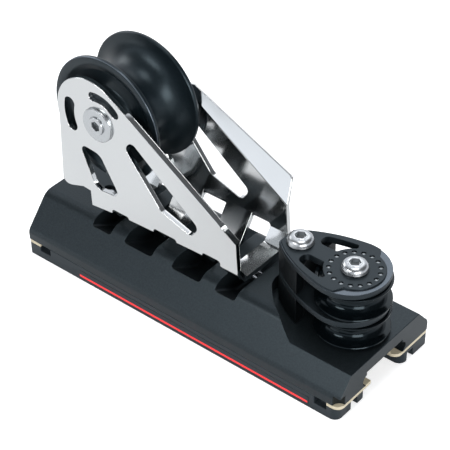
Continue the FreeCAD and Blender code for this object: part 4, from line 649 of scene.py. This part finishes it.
# %% Axle bushes and bolt
for node in ("axle_bush_left", "axle_bush_right"):
    low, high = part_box(node)
    rim = span(node, 0) / 2
    deep = span(node, 1)
    rings = [(4.1, 0.0), (6.8, 0.0), (7.0, 0.2), (7.0, deep - 1.7), (rim - 0.2, deep - 1.7),
             (rim, deep - 1.5), (rim, deep - 0.8), (rim - 0.2, deep - 0.35), (rim - 0.6, deep - 0.08),
             (rim - 1.0, deep), (5.0, deep), (4.75, deep - 0.15), (4.7, deep - 0.6), (4.1, deep - 0.6)]
    piece = lathe(node + "_turned", rings)
    near = node.endswith("right")
    inside = high[1] if near else low[1]
    centre = middle(node)
    lay(piece, (centre.x, inside / MM, centre.z), tilt=90 if near else -90)
    settle(piece, node, head_finish)
    print(node, "faces:", len(piece.data.polygons))

SOCKET = 2.4
_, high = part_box("axle_bolt")
centre = middle("axle_bolt")
length = span("axle_bolt", 1)
rings = [(3.7, 0.0), (4.0, 0.3), (4.0, length - 1.2), (4.6, length - 1.2), (4.6, length - 0.35),
         (4.45, length - 0.1), (4.2, length), (3.1, length), (SOCKET, length, SOCKET + 0.1),
         (SOCKET, length - 0.2, SOCKET), (SOCKET, length - 3.4, SOCKET)]
axle_bolt = lathe("axle_bolt_turned", rings, capped=True)
lay(axle_bolt, (centre.x, high[1] / MM, centre.z), tilt=90)
settle(axle_bolt, "axle_bolt", head_finish)
print("axle bolt:", len(axle_bolt.data.polygons), "faces")

# %% [markdown]
# Every ball is the same, so one is modelled. A ball could be a sphere of rings, whose faces crowd at two
# poles, but a cube that is divided and pressed out to a sphere has even faces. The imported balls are
# separated to find their centres, and a copy of the ball goes to each.

# %% Balls
BALL_DIVISIONS = 3


def ball_centres(node):
    """The middle of each loose part of a node."""
    merged_copy(node)
    bpy.ops.object.mode_set(mode="EDIT")
    bpy.ops.mesh.select_all(action="SELECT")
    bpy.ops.mesh.separate(type="LOOSE")
    bpy.ops.object.mode_set(mode="OBJECT")
    parts = list(bpy.context.selected_objects)
    centres = []
    for part in parts:
        corners = [Vector(corner) for corner in part.bound_box]
        centres.append((corners[0] + corners[6]) / 2)
    for part in parts:
        bpy.data.objects.remove(part)
    return centres


def one_ball(radius):
    """A cube pressed out to a sphere round the origin."""
    bpy.ops.object.select_all(action="DESELECT")
    bpy.ops.mesh.primitive_cube_add(size=radius, location=(0, 0, 0))
    ball = bpy.context.object
    split = ball.modifiers.new("split", "SUBSURF")
    split.subdivision_type = "SIMPLE"
    split.levels = BALL_DIVISIONS
    split.render_levels = BALL_DIVISIONS
    bpy.ops.object.modifier_apply(modifier="split")
    press = ball.modifiers.new("press", "CAST")
    press.cast_type = "SPHERE"
    press.factor = 1.0
    press.use_radius_as_size = False
    press.size = radius
    bpy.ops.object.modifier_apply(modifier="press")
    bpy.ops.object.shade_smooth()
    return ball


def place_balls(node):
    """Copies one ball to each centre and joins them into one piece."""
    centres = ball_centres(node)
    model = one_ball(span(node, 2) * MM / 2)
    balls = []
    for centre in centres:
        ball = bpy.data.objects.new(node + "_ball", model.data.copy())
        bpy.context.scene.collection.objects.link(ball)
        ball.data.transform(Matrix.Translation(centre))
        balls.append(ball)
    bpy.data.objects.remove(model)
    alone(balls[0])
    for ball in balls:
        ball.select_set(True)
    bpy.ops.object.join()
    settle(bpy.context.object, node)
    return len(balls)


for node in ("control_balls", "track_balls_left", "track_balls_right"):
    print(node, place_balls(node), "balls")

# %% [markdown]
# The part stands on a plain white sheet that runs on behind it. Lamps strong enough to make the sheet
# white would burn out the part, so to the camera alone the sheet glows a little as well, and it still
# takes the part's shadow.

# %% White sheet
SHEET_SIZE = 6.0
SHEET_GAP = 0.0002
SHEET_GLOW = 0.5
bpy.ops.object.select_all(action="DESELECT")
bpy.ops.mesh.primitive_plane_add(size=SHEET_SIZE, location=(0, 0, -SHEET_GAP))
floor = bpy.context.object
floor.name = "table_sheet"
floor_finish, tree, shader = finish("white_paper_sheet")
shader.inputs["Base Color"].default_value = linear("f4f4f4")
shader.inputs["Roughness"].default_value = 0.9
to_camera = add(tree, "ShaderNodeLightPath").outputs["Is Camera Ray"]
share = add(tree, "ShaderNodeMath", [(0, to_camera)], operation="MULTIPLY")
share.inputs[1].default_value = SHEET_GLOW
glow = add(tree, "ShaderNodeEmission", [("Strength", share.outputs[0])])
glow.inputs["Color"].default_value = linear("ffffff")
mixed = add(tree, "ShaderNodeAddShader", [(0, shader.outputs[0]), (1, glow.outputs[0])])
output = next(item for item in tree.nodes if item.type == "OUTPUT_MATERIAL")
tree.links.new(mixed.outputs[0], output.inputs["Surface"])
floor.data.materials.append(floor_finish)
print("sheet:", SHEET_SIZE, "metres wide")

# %% [markdown]
# Polished and black parts show the room more than their own colour. An even sky would leave them flat,
# so this room is bright on the far side of the table and dark behind the photographer, but for one long
# low window there. On the far side it is dark again higher up, beyond the front end of the part. The
# camera itself sees plain white.

# %% Sky
SKY_BRIGHT = 1.1
SKY_DARK = 0.15
WINDOW_LIGHT = 1.3
NEAR_SIDE = ("Y", 0.25, -0.3)
FAR_SIDE = ("Y", -0.3, 0.25)
world = bpy.data.worlds.new("studio")
bpy.context.scene.world = world
world.use_nodes = True
sky = world.node_tree
background = next(item for item in sky.nodes if item.type == "BACKGROUND")
background.inputs["Color"].default_value = linear("f4f8ff")
directions = add(sky, "ShaderNodeTexCoord").outputs["Generated"]
heading = add(sky, "ShaderNodeSeparateXYZ", [("Vector", directions)])


def part_of_sky(*limits):
    """One in a part of the sky and nought outside it. Each limit is an axis and the two values between
    which the part fades in, and it fades in as far as the limits before it let it."""
    links = []
    for axis, outside, inside in limits:
        links.append(("Value", heading.outputs[axis]))
        fade = add(sky, "ShaderNodeMapRange", links, interpolation_type="SMOOTHSTEP", From_Min=outside,
                   From_Max=inside)
        links = [("To Max", fade.outputs["Result"])]
    return fade.outputs["Result"]


near_side = part_of_sky(NEAR_SIDE)
window = part_of_sky(NEAR_SIDE, ("Z", 0.2, 0.28), ("Z", 0.5, 0.42))
front_end = part_of_sky(FAR_SIDE, ("X", 0.0, 0.2), ("Z", 0.25, 0.4))
dark = add(sky, "ShaderNodeMath", [(0, near_side), (1, front_end)], operation="MAXIMUM")
level = add(sky, "ShaderNodeMapRange", [("Value", dark.outputs[0])], To_Min=SKY_BRIGHT, To_Max=SKY_DARK)
bright = add(sky, "ShaderNodeMath", [(0, window), (2, level.outputs["Result"])],
             operation="MULTIPLY_ADD")
bright.inputs[1].default_value = WINDOW_LIGHT
to_camera = add(sky, "ShaderNodeLightPath").outputs["Is Camera Ray"]
shown = add(sky, "ShaderNodeMath", [(0, bright.outputs[0]), (1, to_camera)], operation="MAXIMUM")
sky.links.new(shown.outputs[0], background.inputs["Strength"])
print("sky nodes:", len(sky.nodes))

# %% [markdown]
# Big soft lamps give the even light of a catalogue picture. A small lamp would do the same work with
# hard shadows, so each of these is a rectangle, as a softbox is. It has a place, a point it is aimed
# at, a width and a height in metres, and a power in watts.

# %% Lamps
def lamp(name, place, aim, width, height, watts):
    """A rectangular soft light."""
    data = bpy.data.lights.new(name, "AREA")
    data.shape = "RECTANGLE"
    data.size = width
    data.size_y = height
    data.energy = watts
    light = bpy.data.objects.new(name, data)
    bpy.context.scene.collection.objects.link(light)
    light.location = place
    light.rotation_euler = (Vector(aim) - Vector(place)).to_track_quat("-Z", "Y").to_euler()


lamp("key_softbox", (-0.2, -0.8, 0.75), (0.08, 0, 0.04), 0.5, 0.22, 3.5)
lamp("right_softbox", (0.8, -0.45, 0.35), (0.08, 0, 0.05), 0.6, 0.4, 6.0)
lamp("low_strip", (-0.65, -1.0, 0.12), (0, 0, 0.03), 0.9, 0.12, 1.2)
lamp("side_softbox", (-1.1, 0.1, 0.7), (0, 0, 0.05), 0.5, 0.5, 2.5)
lamp("back_softbox", (-0.4, 0.9, 1.0), (0, 0, 0.04), 0.7, 0.5, 1.4)
lamp("top_softbox", (0.1, 0.1, 1.3), (0, 0, 0.04), 0.5, 0.5, 4.0)
bpy.context.scene.view_settings.view_transform = "Standard"
print("lamps:", len(bpy.data.lights))
